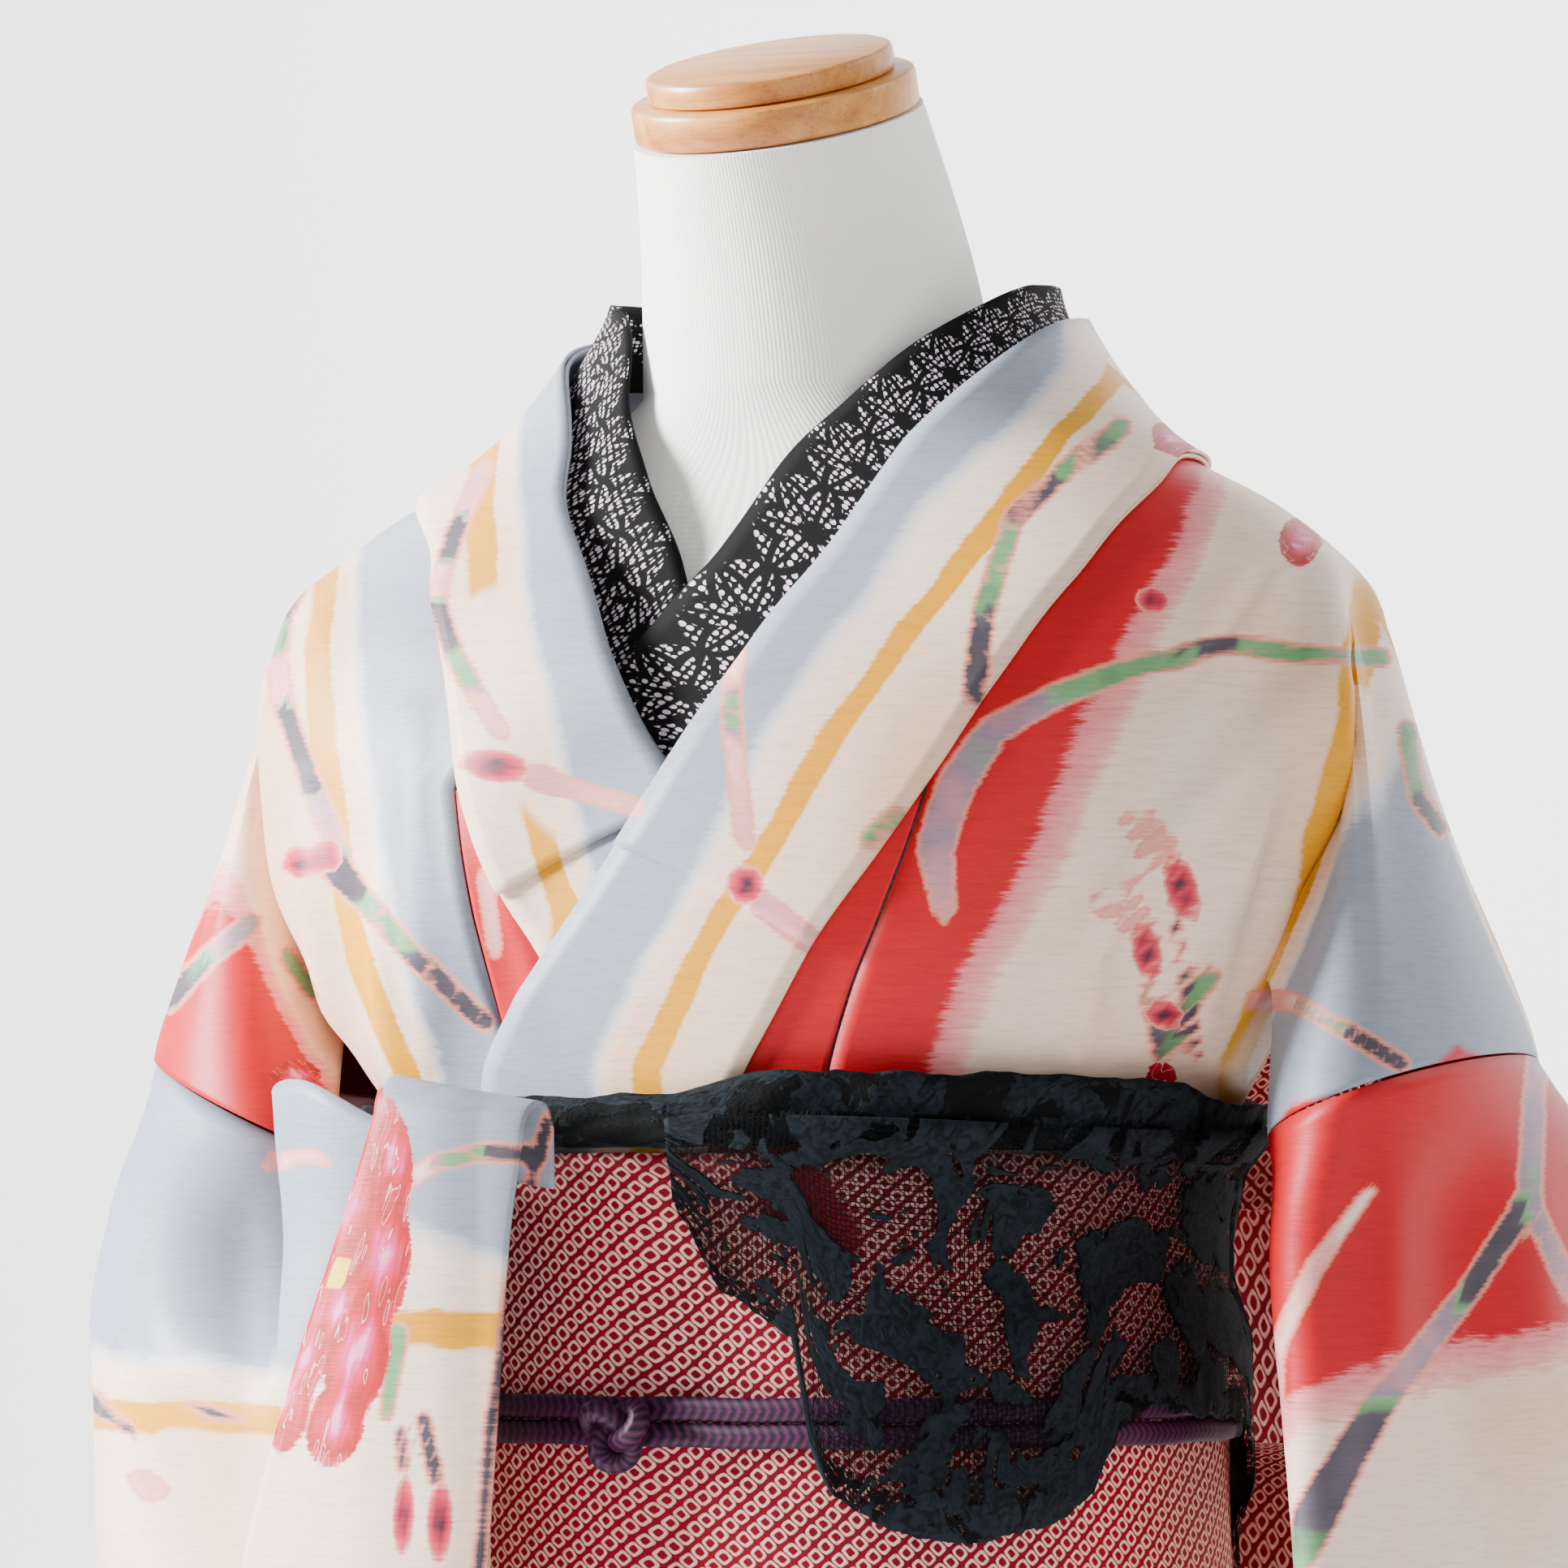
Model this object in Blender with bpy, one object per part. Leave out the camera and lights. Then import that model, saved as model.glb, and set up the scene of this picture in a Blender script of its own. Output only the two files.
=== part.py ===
"""A lined silk kimono worn by a limbless dress form, closed by its own tied sash.

Lengths are millimetres in every table and become metres when a mesh is made.
+Z is up, the form faces -Y, the wearer's left is +X, and the origin is the centre
of the round foot on the floor.  Most of the cloth lies on one wrapped surface,
which is addressed by an angle (0 = wearer's left, -90 = front, 90 = back) and a height.
"""
import math

import bmesh
import bpy
from mathutils import Vector

for old in list(bpy.data.objects):
    bpy.data.objects.remove(old, do_unlink=True)

MM = 0.001
CLOTH = 1.2            # a lined silk layer
SEAM_GAP = 0.35        # clear space between two sewn pieces
LAY_GAP = 0.8          # clear space where one piece lies over another
FACING = LAY_GAP + CLOTH
LEFT, RIGHT = 1, -1


# Tables and curves

def table(columns, *rows):
    """Rows of numbers under named columns; the first column is the one looked up."""
    names = columns.split()
    return {name: [row[i] for row in rows] for i, name in enumerate(names)}


def curve(xs, ys, x):
    """A smooth curve through the points (xs, ys), flat beyond both ends."""
    if x <= xs[0]:
        return ys[0]
    if x >= xs[-1]:
        return ys[-1]
    i = max(k for k in range(len(xs) - 1) if xs[k] <= x)
    slope = []
    for k in (i, i + 1):
        low, high = max(k - 1, 0), min(k + 1, len(xs) - 1)
        slope.append((ys[high] - ys[low]) / (xs[high] - xs[low]))
    span = xs[i + 1] - xs[i]
    t = (x - xs[i]) / span
    rise = ys[i + 1] - ys[i]
    cubic = (slope[0] + slope[1]) * span - 2 * rise
    square = 3 * rise - (2 * slope[0] + slope[1]) * span
    return ys[i] + slope[0] * span * t + square * t * t + cubic * t ** 3


def at(rows, column, x):
    key = next(iter(rows))
    return curve(rows[key], rows[column], x)


def level(rows, column, x):
    """Straight lines between the rows, where a smooth curve would swing past them."""
    xs, ys = rows[next(iter(rows))], rows[column]
    if x <= xs[0]:
        return ys[0]
    for k in range(1, len(xs)):
        if x <= xs[k]:
            return mix(ys[k - 1], ys[k], (x - xs[k - 1]) / (xs[k] - xs[k - 1]))
    return ys[-1]


def mix(a, b, t):
    return a + (b - a) * t


def ease(t):
    t = min(max(t, 0.0), 1.0)
    return t * t * (3 - 2 * t)


# The wrapped surface: the outline of the worn kimono above the skirt

BODY = table(
    "height right_width left_width front back centre",
    (60, 156, 156, 134, 122, 0),
    (450, 160, 160, 136, 123, 0),
    (750, 163, 163, 135, 122, 0),
    (844, 159, 159, 131, 119, 0),
    (870, 150, 150, 126, 112, 0),
    (897, 141, 141, 120, 106, 0),
    (925, 136, 136, 117, 103, 0),
    (990, 134, 134, 115, 102, 0),
    (1060, 134.5, 134.5, 115.5, 102.5, 0),
    (1080, 136, 136, 117, 104, 0),
    (1094, 151, 146, 120, 107, 0),
    (1110, 164, 156, 123, 109, 0),
    (1157, 188, 181, 128, 112, 0),
    (1210, 205, 200, 124, 110, 2),
    (1244, 209, 202, 112, 106, 4),
    (1265, 206, 197, 100, 102, 5),
    (1280, 192, 183, 90, 99, 6),
    (1297, 168, 160, 80, 96, 6),
    (1317, 128, 123, 71, 92, 6),
    (1340, 102, 100, 64, 89, 6),
    (1366, 83, 82, 59, 87, 6),
    (1384, 76, 76, 57, 86, 6),
)
ROUNDNESS = 2 / 2.2    # under 1 makes the sections a little squarer than an ellipse


def rounded(value):
    return math.copysign(abs(value) ** ROUNDNESS, value)


def body_surface(angle, height):
    c, s = math.cos(math.radians(angle)), math.sin(math.radians(angle))
    depth = at(BODY, "back" if s > 0 else "front", height)
    x = at(BODY, "left_width" if c > 0 else "right_width", height) * rounded(c)
    return Vector((x, at(BODY, "centre", height) + depth * rounded(s), height))


def off_surface(surface, angle, height, offset):
    """The point `offset` outside a surface, along its normal."""
    step = 0.5
    across = surface(angle + step, height) - surface(angle - step, height)
    along = surface(angle, height + step) - surface(angle, height - step)
    return surface(angle, height) + across.cross(along).normalized() * offset


# The left front lies over the right front, past this line on the wrapped surface.
OVERLAP = table(
    "height angle",
    (60, -142),
    (840, -137),
    (900, -134),
    (1000, -128),
    (1062, -121),
    (1101, -113.6),
    (1130, -104.6),
    (1156, -97),
    (1180, -92),
    (1205, -88.7),
    (1260, -80),
)
UNDER_DEPTH = 7.4      # how far the right front is pressed in beneath the left one
FOLDED_DEPTH = 10.2    # the same where both fronts are folded in three below the sash


def under_left(angle, height):
    """How far a right-hand piece sinks as it runs under the left front."""
    past = angle - level(OVERLAP, "angle", height)
    depth = mix(FOLDED_DEPTH, UNDER_DEPTH, ease((height - 930) / 55))
    return -depth * ease((past + 20) / 17) * ease((1240 - height) / 34)


def worn_point(side, angle, height, offset):
    """A point on one side of the worn kimono; angles are given as for the left side."""
    if side == RIGHT:
        angle = 180 - angle if angle > -90 else -180 - angle
        offset = offset + under_left(angle if angle < 90 else angle - 360, height)
    return off_surface(body_surface, angle, height, offset)


# Materials

def material(name, red, green, blue, roughness, metallic=0.0):
    made = bpy.data.materials.new(name)
    made.use_nodes = True
    shader = made.node_tree.nodes["Principled BSDF"]
    shader.inputs["Base Color"].default_value = (red, green, blue, 1)
    shader.inputs["Roughness"].default_value = roughness
    shader.inputs["Metallic"].default_value = metallic
    return made


CREAM_SILK = material("cream_silk", 0.86, 0.72, 0.62, 0.5)
GREY_SILK = material("grey_silk", 0.38, 0.42, 0.47, 0.5)
RED_SILK = material("red_silk", 0.62, 0.03, 0.05, 0.5)
BLACK_LACE = material("black_lace", 0.012, 0.012, 0.014, 0.75)
SASH_SILK = material("dyed_sash", 0.36, 0.03, 0.05, 0.6)
PURPLE_BRAID = material("purple_braid", 0.05, 0.01, 0.07, 0.5)
KNIT_COVER = material("white_knit", 0.84, 0.83, 0.79, 0.9)
BEECH = material("beech", 0.58, 0.33, 0.15, 0.45)
STEEL = material("steel_pole", 0.6, 0.6, 0.6, 0.3, 1.0)


# Making meshes

def finish(name, mesh, surface, smooth_angle=40):
    mesh.materials.append(surface)
    mesh.shade_smooth()
    mesh.set_sharp_from_angle(angle=math.radians(smooth_angle))
    made = bpy.data.objects.new(name, mesh)
    bpy.context.scene.collection.objects.link(made)
    return made


def cloth(name, rows, surface, closed=False, thickness=CLOTH, mirrored=False, drop=()):
    """A cloth wall from rows of points on its inner face, thickened outwards.

    The rows run upwards and each row runs from left to right as seen from outside, or from
    right to left if mirrored.  `drop` adds rows of its own, upwards, that end on places
    (row, column) of the main rows.
    """
    form = bmesh.new()
    grid = [[form.verts.new(p * MM) if p is not None else None for p in row] for row in rows]
    hanging = []
    for row in drop:
        hanging.append([grid[p[0]][p[1]] if isinstance(p, tuple) else form.verts.new(p * MM)
                        for p in row])
    for block in (grid, hanging):
        for low, high in zip(block, block[1:]):
            for i in range(len(low) if closed else len(low) - 1):
                k = (i + 1) % len(low)
                corners = [low[i], low[k], high[k], high[i]]
                if None not in corners:
                    form.faces.new(reversed(corners) if mirrored else corners)
    mesh = bpy.data.meshes.new(name)
    form.to_mesh(mesh)
    form.free()
    made = finish(name, mesh, surface)
    wall = made.modifiers.new("cloth thickness", "SOLIDIFY")
    wall.thickness = thickness * MM
    wall.offset = 1
    return made


def loft(name, rings, surface, smooth_angle=40, joined=False):
    """A solid through rings of points, in a column of rings or joined end to end."""
    form = bmesh.new()
    loops = [[form.verts.new(p * MM) for p in ring] for ring in rings]
    for low, high in zip(loops, loops[1:] + loops[:1] if joined else loops[1:]):
        for i in range(len(low)):
            k = (i + 1) % len(low)
            form.faces.new((low[i], low[k], high[k], high[i]))
    if not joined:
        form.faces.new(list(reversed(loops[0])))
        form.faces.new(loops[-1])
    bmesh.ops.recalc_face_normals(form, faces=form.faces)
    mesh = bpy.data.meshes.new(name)
    form.to_mesh(mesh)
    form.free()
    return finish(name, mesh, surface, smooth_angle)


# Collar lines, as for the wearer's left.  Each row is one station of the band,
# from the middle of the back of the neck down to its end under the sash.

LEFT_COLLAR = table(
    "station inner_angle inner_height outer_angle outer_height",
    (0, 90, 1356, 90, 1299),
    (1, 60, 1361, 58, 1303),
    (2, 30, 1364, 28, 1310),
    (3, 3, 1360, 3, 1311),
    (4, -25, 1349, -20, 1303),
    (5, -50, 1330, -40, 1286),
    (6, -70, 1302, -51.5, 1262),
    (7, -79.5, 1266, -58, 1231),
    (8, -84.5, 1234, -62.5, 1202),
    (9, -88.7, 1205, -67, 1175),
    (10, -92.1, 1180, -72, 1149),
    (11, -97.1, 1155.6, -76, 1124),
    (12, -104.6, 1129.8, -80, 1101),
    (13, -113.6, 1100.8, -84, 1078),
    (14, -121, 1062, -89, 1046),
)
RIGHT_COLLAR = table(
    "station inner_angle inner_height outer_angle outer_height",
    (0, 90, 1356, 90, 1299),
    (1, 60, 1361, 58, 1303),
    (2, 30, 1364, 28, 1310),
    (3, 3, 1361, 3, 1312),
    (4, -25, 1352, -20, 1307),
    (5, -48, 1336, -41, 1297),
    (6, -66, 1308, -56, 1281),
    (7, -79, 1274, -64.5, 1254),
    (8, -85.5, 1240, -69, 1224),
    (9, -91, 1205, -71, 1196),
    (10, -96, 1179, -74, 1166),
    (11, -102, 1154, -78, 1140),
    (12, -109, 1128, -82, 1112),
    (13, -116, 1100, -86, 1085),
    (14, -123, 1062, -91, 1048),
)
COLLARS = {LEFT: LEFT_COLLAR, RIGHT: RIGHT_COLLAR}
LAST_STATION = 14
TIP_HEIGHT = {LEFT: 1201, RIGHT: 1205}           # where the overlap panel's point starts
OVERLAP_SEAM = {
    LEFT: table("height angle", (840, -72), (1000, -70), (1102, -68.9), (1131, -67.5),
                (1154, -65.6), (1178, -64), (1201, -63)),
    RIGHT: table("height angle", (840, -74), (1000, -71), (1121, -69.3), (1154, -69.8),
                 (1181, -69.7), (1205, -69.1)),
}
UNDERLAP = 2.2         # degrees that a panel runs on beneath the collar's edge


def collar_edge_angle(side, height):
    """Angle of the collar's outer edge at a height, for the front of the body."""
    rows = COLLARS[side]
    heights = list(reversed(rows["outer_height"][4:]))
    angles = list(reversed(rows["outer_angle"][4:]))
    return curve(heights, angles, height)


def front_edge(side, height):
    """The front panel's inner edge: under the collar above, at the overlap seam below."""
    seam = at(OVERLAP_SEAM[side], "angle", height)
    collar = collar_edge_angle(side, height) - UNDERLAP
    return mix(seam, collar, ease((height - TIP_HEIGHT[side] + 6) / 16))


def neck_edge(side, angle):
    """Height of the panel's edge under the collar, over the shoulder and the back."""
    rows = COLLARS[side]
    angles = list(reversed(rows["outer_angle"][:7]))
    heights = list(reversed(rows["outer_height"][:7]))
    return curve(angles, heights, angle) + 4


# The length of a panel.  It goes up from the hem to the waist, folds down, and folds up
# again at the tuck below the sash, so three layers lie there.

def along_panel(*upper_heights):
    """(height, offset) at each row of a panel from the hem to the chest."""
    rows = [(z, SKIRT_OFFSET) for z in (HEM, 430, 770, 844, 870, 897)]
    rows += fold(WAIST_FOLD, SKIRT_OFFSET, MIDDLE_OFFSET, 1)
    rows += [(897, MIDDLE_OFFSET), (870, MIDDLE_OFFSET)]
    rows += fold(TUCK_FOLD, MIDDLE_OFFSET, 0, -1)
    return rows + [(z, 0) for z in (870, 897, 925) + upper_heights]


def fold(height, start, end, way):
    """Rows round a half turn of cloth between two offsets, over the top or under the bottom."""
    middle, radius = (start + end) / 2, (end - start) / 2
    turns = [math.radians(180 - 60 * k) for k in range(4)]
    return [(height + way * radius * math.sin(t), middle + radius * math.cos(t)) for t in turns]


HEM, WAIST_FOLD, TUCK_FOLD = 62, 925, 844
SKIRT_OFFSET, MIDDLE_OFFSET = -5.4, -1.8


# Body panels: each is one length of silk from the hem in front, over the shoulder, to the
# hem behind, and hangs past the shoulder to the seam where the sleeve is sewn on.

ARM_FRONT, ARM_BACK = -9.0, 40.0                 # angles where the cloth leaves the body
ARM_BOTTOM, ARM_TOP = 1138, 1254
FRONT_COLUMNS, ARM_COLUMNS, BACK_COLUMNS = 5, 6, 5
ARM_ROWS, TOP_ROWS, DROP_ROWS = 5, 5, 5
SLIT_COLUMNS = {LEFT: (2, 2), RIGHT: (1, 3)}     # cloth in front of and behind the arm slit
INWARD_PULL = {LEFT: 22, RIGHT: 22}              # how far the cloth turns in before it hangs
OUTWARD_PULL = {LEFT: 17, RIGHT: 30}             # how far the cloth swings out by the slit
CENTRE_GAP = 0.12      # degrees, half the gap at the centre back seam

ARMHOLE = table(
    "side x y half_width half_length swing first_turn last_turn",
    (RIGHT, 218, 1.5, 44, 80, 30, -115, 172),
    (LEFT, 206, 24, 38, 94, -7, -168, 128),
)
ARMHOLE_HEIGHT = {LEFT: 1096, RIGHT: 1092}
ARMHOLE_TILT = {LEFT: 15, RIGHT: 21}             # the seam is higher at the outside
HIGHEST_TURN = {LEFT: 0, RIGHT: 20}


def oval_point(side, x, y, half_width, half_length, swing, turn, height):
    """A point on an oval in plan; turn 0 is its outside and -90 its front end."""
    c, s = math.cos(math.radians(turn)), math.sin(math.radians(turn))
    spin = math.radians(swing)
    out, back = half_width * c, half_length * s
    return Vector((side * (x + out * math.cos(spin) + back * math.sin(spin)),
                   y - out * math.sin(spin) + back * math.cos(spin), height))


ARMHOLE_PARTS = 2 * ARM_ROWS + ARM_COLUMNS + 4   # straight lengths that the seam is made of


def sewn_point(side, share, drop):
    """A point on the straight lengths of the sleeve seam, `drop` below them."""
    part = min(int(share * ARMHOLE_PARTS), ARMHOLE_PARTS - 1)
    ends = [armhole_point(side, k / ARMHOLE_PARTS, drop)[0] for k in (part, part + 1)]
    return ends[0].lerp(ends[1], share * ARMHOLE_PARTS - part)


def armhole_point(side, share, drop=0.0):
    """A point on the sleeve seam, by its share of the way from the front end to the back."""
    values = [at(ARMHOLE, column, side) for column in list(ARMHOLE)[1:]]
    turn = mix(values[5], values[6], share)
    lift = ARMHOLE_TILT[side] * math.cos(math.radians(turn - HIGHEST_TURN[side]))
    height = ARMHOLE_HEIGHT[side] + lift - drop
    return oval_point(side, *values[:5], turn, height), turn


def hermite(start, start_pull, end, end_pull, t):
    a, b = 2 * t ** 3 - 3 * t * t + 1, t ** 3 - 2 * t * t + t
    c, d = 3 * t * t - 2 * t ** 3, t ** 3 - t * t
    return start * a + start_pull * b + end * c + end_pull * d


def body_panel(side, name):
    columns = FRONT_COLUMNS + ARM_COLUMNS + BACK_COLUMNS
    arm_start, arm_end = FRONT_COLUMNS, FRONT_COLUMNS + ARM_COLUMNS

    def panel_angle(column, height):
        if column <= arm_start:
            return mix(front_edge(side, height), ARM_FRONT, column / FRONT_COLUMNS)
        if column <= arm_end:
            return mix(ARM_FRONT, ARM_BACK, (column - arm_start) / ARM_COLUMNS)
        return mix(ARM_BACK, 90 - CENTRE_GAP, (column - arm_end) / BACK_COLUMNS)

    length = along_panel(990, 1066, 1081, 1095, 1112, ARM_BOTTOM)
    low = len(length) - 1
    length += [(z, 0) for z in (1166, TIP_HEIGHT[side] - 6, TIP_HEIGHT[side] + 10, 1233, ARM_TOP)]
    top = len(length) - 1
    rows = [[worn_point(side, panel_angle(c, z), z, offset) for c in range(columns + 1)]
            for z, offset in length]
    highest = neck_edge(side, front_edge(side, 1275))
    for k in range(1, TOP_ROWS + 1):
        angles = [panel_angle(c, mix(ARM_TOP, highest - 4, k / TOP_ROWS)) for c in range(columns + 1)]
        rows.append([worn_point(side, a, mix(ARM_TOP, neck_edge(side, a), k / TOP_ROWS), 0)
                     for a in angles])

    # The drop runs from the edge of the arm opening down to the sleeve seam.  Its two free
    # edges start at the slit, in the middle of the opening's lower edge.
    front_slit, back_slit = SLIT_COLUMNS[side]
    rim = [(low, c) for c in range(arm_start + front_slit, arm_start, -1)]
    rim += [(r, arm_start) for r in range(low, top + 1)]
    rim += [(top, c) for c in range(arm_start + 1, arm_end + 1)]
    rim += [(r, arm_end) for r in range(top - 1, low - 1, -1)]
    rim += [(low, c) for c in range(arm_end - 1, arm_end - back_slit - 1, -1)]
    rings = [[] for k in range(DROP_ROWS)]
    for n, (r, c) in enumerate(rim):
        start = rows[r][c]
        end, turn = armhole_point(side, n / (len(rim) - 1))
        inner = (min(max(r, low + 1), top - 1), min(max(c, arm_start + 1), arm_end - 1))
        into = (rows[inner[0]][inner[1]] - start).normalized()
        outward = Vector((start.x / 200, start.y / 110, 0)).normalized()
        raised = (start.z - ARM_BOTTOM) / (ARM_TOP - ARM_BOTTOM)
        start_pull = into * (INWARD_PULL[side] + 22 * max(-into.z, 0)) + outward * mix(17, OUTWARD_PULL[side], 1 - raised)
        end_pull = Vector((side * 8, -10 * ease(-turn / 90), -mix(50, 75, raised)))
        for k in range(DROP_ROWS):
            rings[k].append(hermite(start, start_pull, end, end_pull, 1 - k / DROP_ROWS))
    rings.append(rim)
    for r in range(low + 1, top):
        rows[r][arm_start + 1:arm_end] = [None] * (ARM_COLUMNS - 1)
    return cloth(name, rows, CREAM_SILK, mirrored=side == RIGHT, drop=rings)


body_panel(LEFT, "body_panel_left")
body_panel(RIGHT, "body_panel_right")


# Overlap panels, sewn to the front edge of each body panel and tapering up to a point.

def overlap_panel(side, name):
    columns = 4
    rows = []
    for z, offset in along_panel(990, 1040, 1066, 1081, 1095, 1112, ARM_BOTTOM, 1166,
                                 TIP_HEIGHT[side] - 6):
        seam = front_edge(side, z)
        under_collar = collar_edge_angle(side, max(z, 1050)) - UNDERLAP - 0.6
        far = at(OVERLAP, "angle", z) + 1.2
        free = mix(far, under_collar, ease((z - 1020) / 40))
        rows.append([worn_point(side, mix(free, seam - SEAM_ANGLE, c / columns), z, offset)
                     for c in range(columns + 1)])
    return cloth(name, rows, RED_SILK, mirrored=side == RIGHT)


SEAM_ANGLE = 0.36      # degrees of clear space at a seam between panels

overlap_panel(LEFT, "overlap_panel_left")
overlap_panel(RIGHT, "overlap_panel_right")


# Collar: one doubled strip all round the neck, with a shorter strip sewn over it.

def collar_point(station, across, offset):
    side = RIGHT if station < 0 else LEFT
    rows = COLLARS[side]
    k = abs(station)
    angle = mix(at(rows, "outer_angle", k), at(rows, "inner_angle", k), across)
    height = mix(at(rows, "outer_height", k), at(rows, "inner_height", k), across)
    return worn_point(side, angle, height, offset)


def collar_band(name, right_end, left_end, offset, thickness, surface, slant=(0, 0)):
    """The strip between two stations; each end can run aslant from its outer to inner edge."""
    across = 3
    inner_left, inner_right = left_end + min(slant[1], 0), right_end + max(slant[0], 0)
    between = [k / 4 for k in range(55, -56, -1) if k % 2 == 0 or abs(k) < 20]
    between = [k for k in between if inner_right + 0.2 < k < inner_left - 0.2]
    rows = []
    for r in range(across + 1):
        ends = left_end + slant[1] * r / across, right_end + slant[0] * r / across
        stations = [mix(ends[0], between[0], k / 3) for k in range(3)] + between
        stations += [mix(between[-1], ends[1], k / 3) for k in (1, 2, 3)]
        rows.append([collar_point(k, r / across, offset) for k in stations])
    return cloth(name, rows, surface, thickness=thickness)


COLLAR_THICKNESS = 1.5
collar_band("collar", -LAST_STATION, LAST_STATION, FACING, COLLAR_THICKNESS, CREAM_SILK)
collar_band("collar_cover", -10.1, 10.15, FACING + COLLAR_THICKNESS + 0.6, CLOTH,
            GREY_SILK, slant=(0.7, -0.1))


# Lace collar, worn inside the silk one.

LACE_LEFT = table(
    "station inner_angle inner_height outer_angle outer_height",
    (0, 90, 1368, 90, 1342),
    (1, 60, 1374, 60, 1347),
    (2, 30, 1378, 30, 1350),
    (3, -3, 1374, 3, 1346),
    (4, -31, 1364, -24, 1333),
    (5, -55, 1349.5, -44, 1312),
    (6, -72.4, 1330, -58, 1288),
    (7, -84.3, 1308, -67, 1262),
    (8, -90.9, 1270, -74, 1232),
    (9, -96, 1238, -79, 1206),
    (10, -100, 1206, -84, 1185),
)
LACE_RIGHT = table(
    "station inner_angle inner_height outer_angle outer_height",
    (0, 90, 1368, 90, 1342),
    (1, 60, 1374, 60, 1347),
    (2, 30, 1378, 30, 1350),
    (3, -8, 1375, 3, 1347),
    (4, -36, 1371, -20, 1338),
    (5, -54, 1361, -38, 1322),
    (6, -66, 1334, -54, 1302),
    (7, -78.7, 1308, -66, 1276),
    (8, -85.7, 1287, -74, 1250),
    (9, -90, 1262, -80, 1226),
    (10, -95, 1232, -86, 1204),
)


def lace_point(station, across):
    side, rows = (RIGHT, LACE_RIGHT) if station < 0 else (LEFT, LACE_LEFT)
    k = abs(station)
    angle = mix(at(rows, "outer_angle", k), at(rows, "inner_angle", k), across)
    height = mix(at(rows, "outer_height", k), at(rows, "inner_height", k), across)
    if side == LEFT:
        depth = mix(2.0, 7.0, ease((1290 - height) / 54))
        return off_surface(body_surface, angle, height, -depth)
    depth = mix(2.0, 10.4, ease((1300 - height) / 50))
    return off_surface(body_surface, 180 - angle, height, -depth)


rows = []
for r in range(4):
    rows.append([lace_point(10 - k * 0.625, r / 3) for k in range(33)])
cloth("lace_collar", rows, BLACK_LACE)


SLEEVE_GAP = 0.8


# Sleeves: flat bags sewn to the armholes.  The two free edges start at the slit beside
# the body and run to the far end of the bag.

LEFT_SLEEVE = table(
    "height x y half_width half_length swing first_turn last_turn",
    (775, 250, 118, 15, 196, 12, -266, 86),
    (850, 249, 108, 20, 186, 12, -266, 86),
    (930, 244, 92, 26, 166, 12, -262, 88),
    (1000, 234, 72, 33, 141, 10, -244, 98),
    (1050, 218, 50, 36, 117, 6, -212, 110),
    (1096, 206, 24, 38, 94, -7, -168, 128),
)


def left_sleeve():
    columns = 2 * ARMHOLE_PARTS
    rows = []
    for z in (775, 850, 930, 1000, 1050, 1078):
        values = [at(LEFT_SLEEVE, column, z) for column in list(LEFT_SLEEVE)[1:]]
        row = []
        for c in range(columns + 1):
            turn = mix(values[5], values[6], c / columns)
            lift = ARMHOLE_TILT[LEFT] * math.cos(math.radians(turn)) * ease((z - 930) / 166)
            row.append(oval_point(LEFT, *values[:5], turn, z + lift))
        rows.append(row)
    rows.append([sewn_point(LEFT, c / columns, SLEEVE_GAP) for c in range(columns + 1)])
    return cloth("sleeve_left", rows, RED_SILK)


left_sleeve()


# The right sleeve is brought forward across the sash: each row of the first table is a
# place along the middle of the bag, from its far end in front back to the shoulder fold.

RIGHT_SLEEVE = table(
    "share x y half_thickness",
    (0.0, -45, -153, 1.6),
    (0.06, -62, -153.5, 3.4),
    (0.2, -98, -151, 6),
    (0.4, -150, -136, 10),
    (0.58, -204, -104, 15),
    (0.74, -241, -58, 19),
    (0.88, -255, 0, 21),
    (0.95, -252, 38, 17),
    (1.0, -249, 66, 3),
)
RIGHT_FREE_EDGES = table(
    "share outer_x outer_y outer_z inner_x inner_y inner_z",
    (0.0, -45, -155, 1078, -45, -151, 1078),
    (0.3, -82, -157, 1088, -80, -145, 1080),
    (0.6, -118, -150, 1102, -112, -127, 1080),
    (0.85, -147, -122, 1098, -137, -84, 1078),
    (1.0, -163, -76, 1084, -165, -26, 1074),
)


def bag_point(share, way):
    """A point on the outer or inner leaf of the right sleeve, in plan."""
    here = Vector((at(RIGHT_SLEEVE, "x", share), at(RIGHT_SLEEVE, "y", share), 0))
    low, high = max(share - 0.01, 0), min(share + 0.01, 1)
    along = Vector((at(RIGHT_SLEEVE, "x", high) - at(RIGHT_SLEEVE, "x", low),
                    at(RIGHT_SLEEVE, "y", high) - at(RIGHT_SLEEVE, "y", low), 0)).normalized()
    outward = Vector((along.y, -along.x, 0))
    return here - outward * way * at(RIGHT_SLEEVE, "half_thickness", share)


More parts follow.
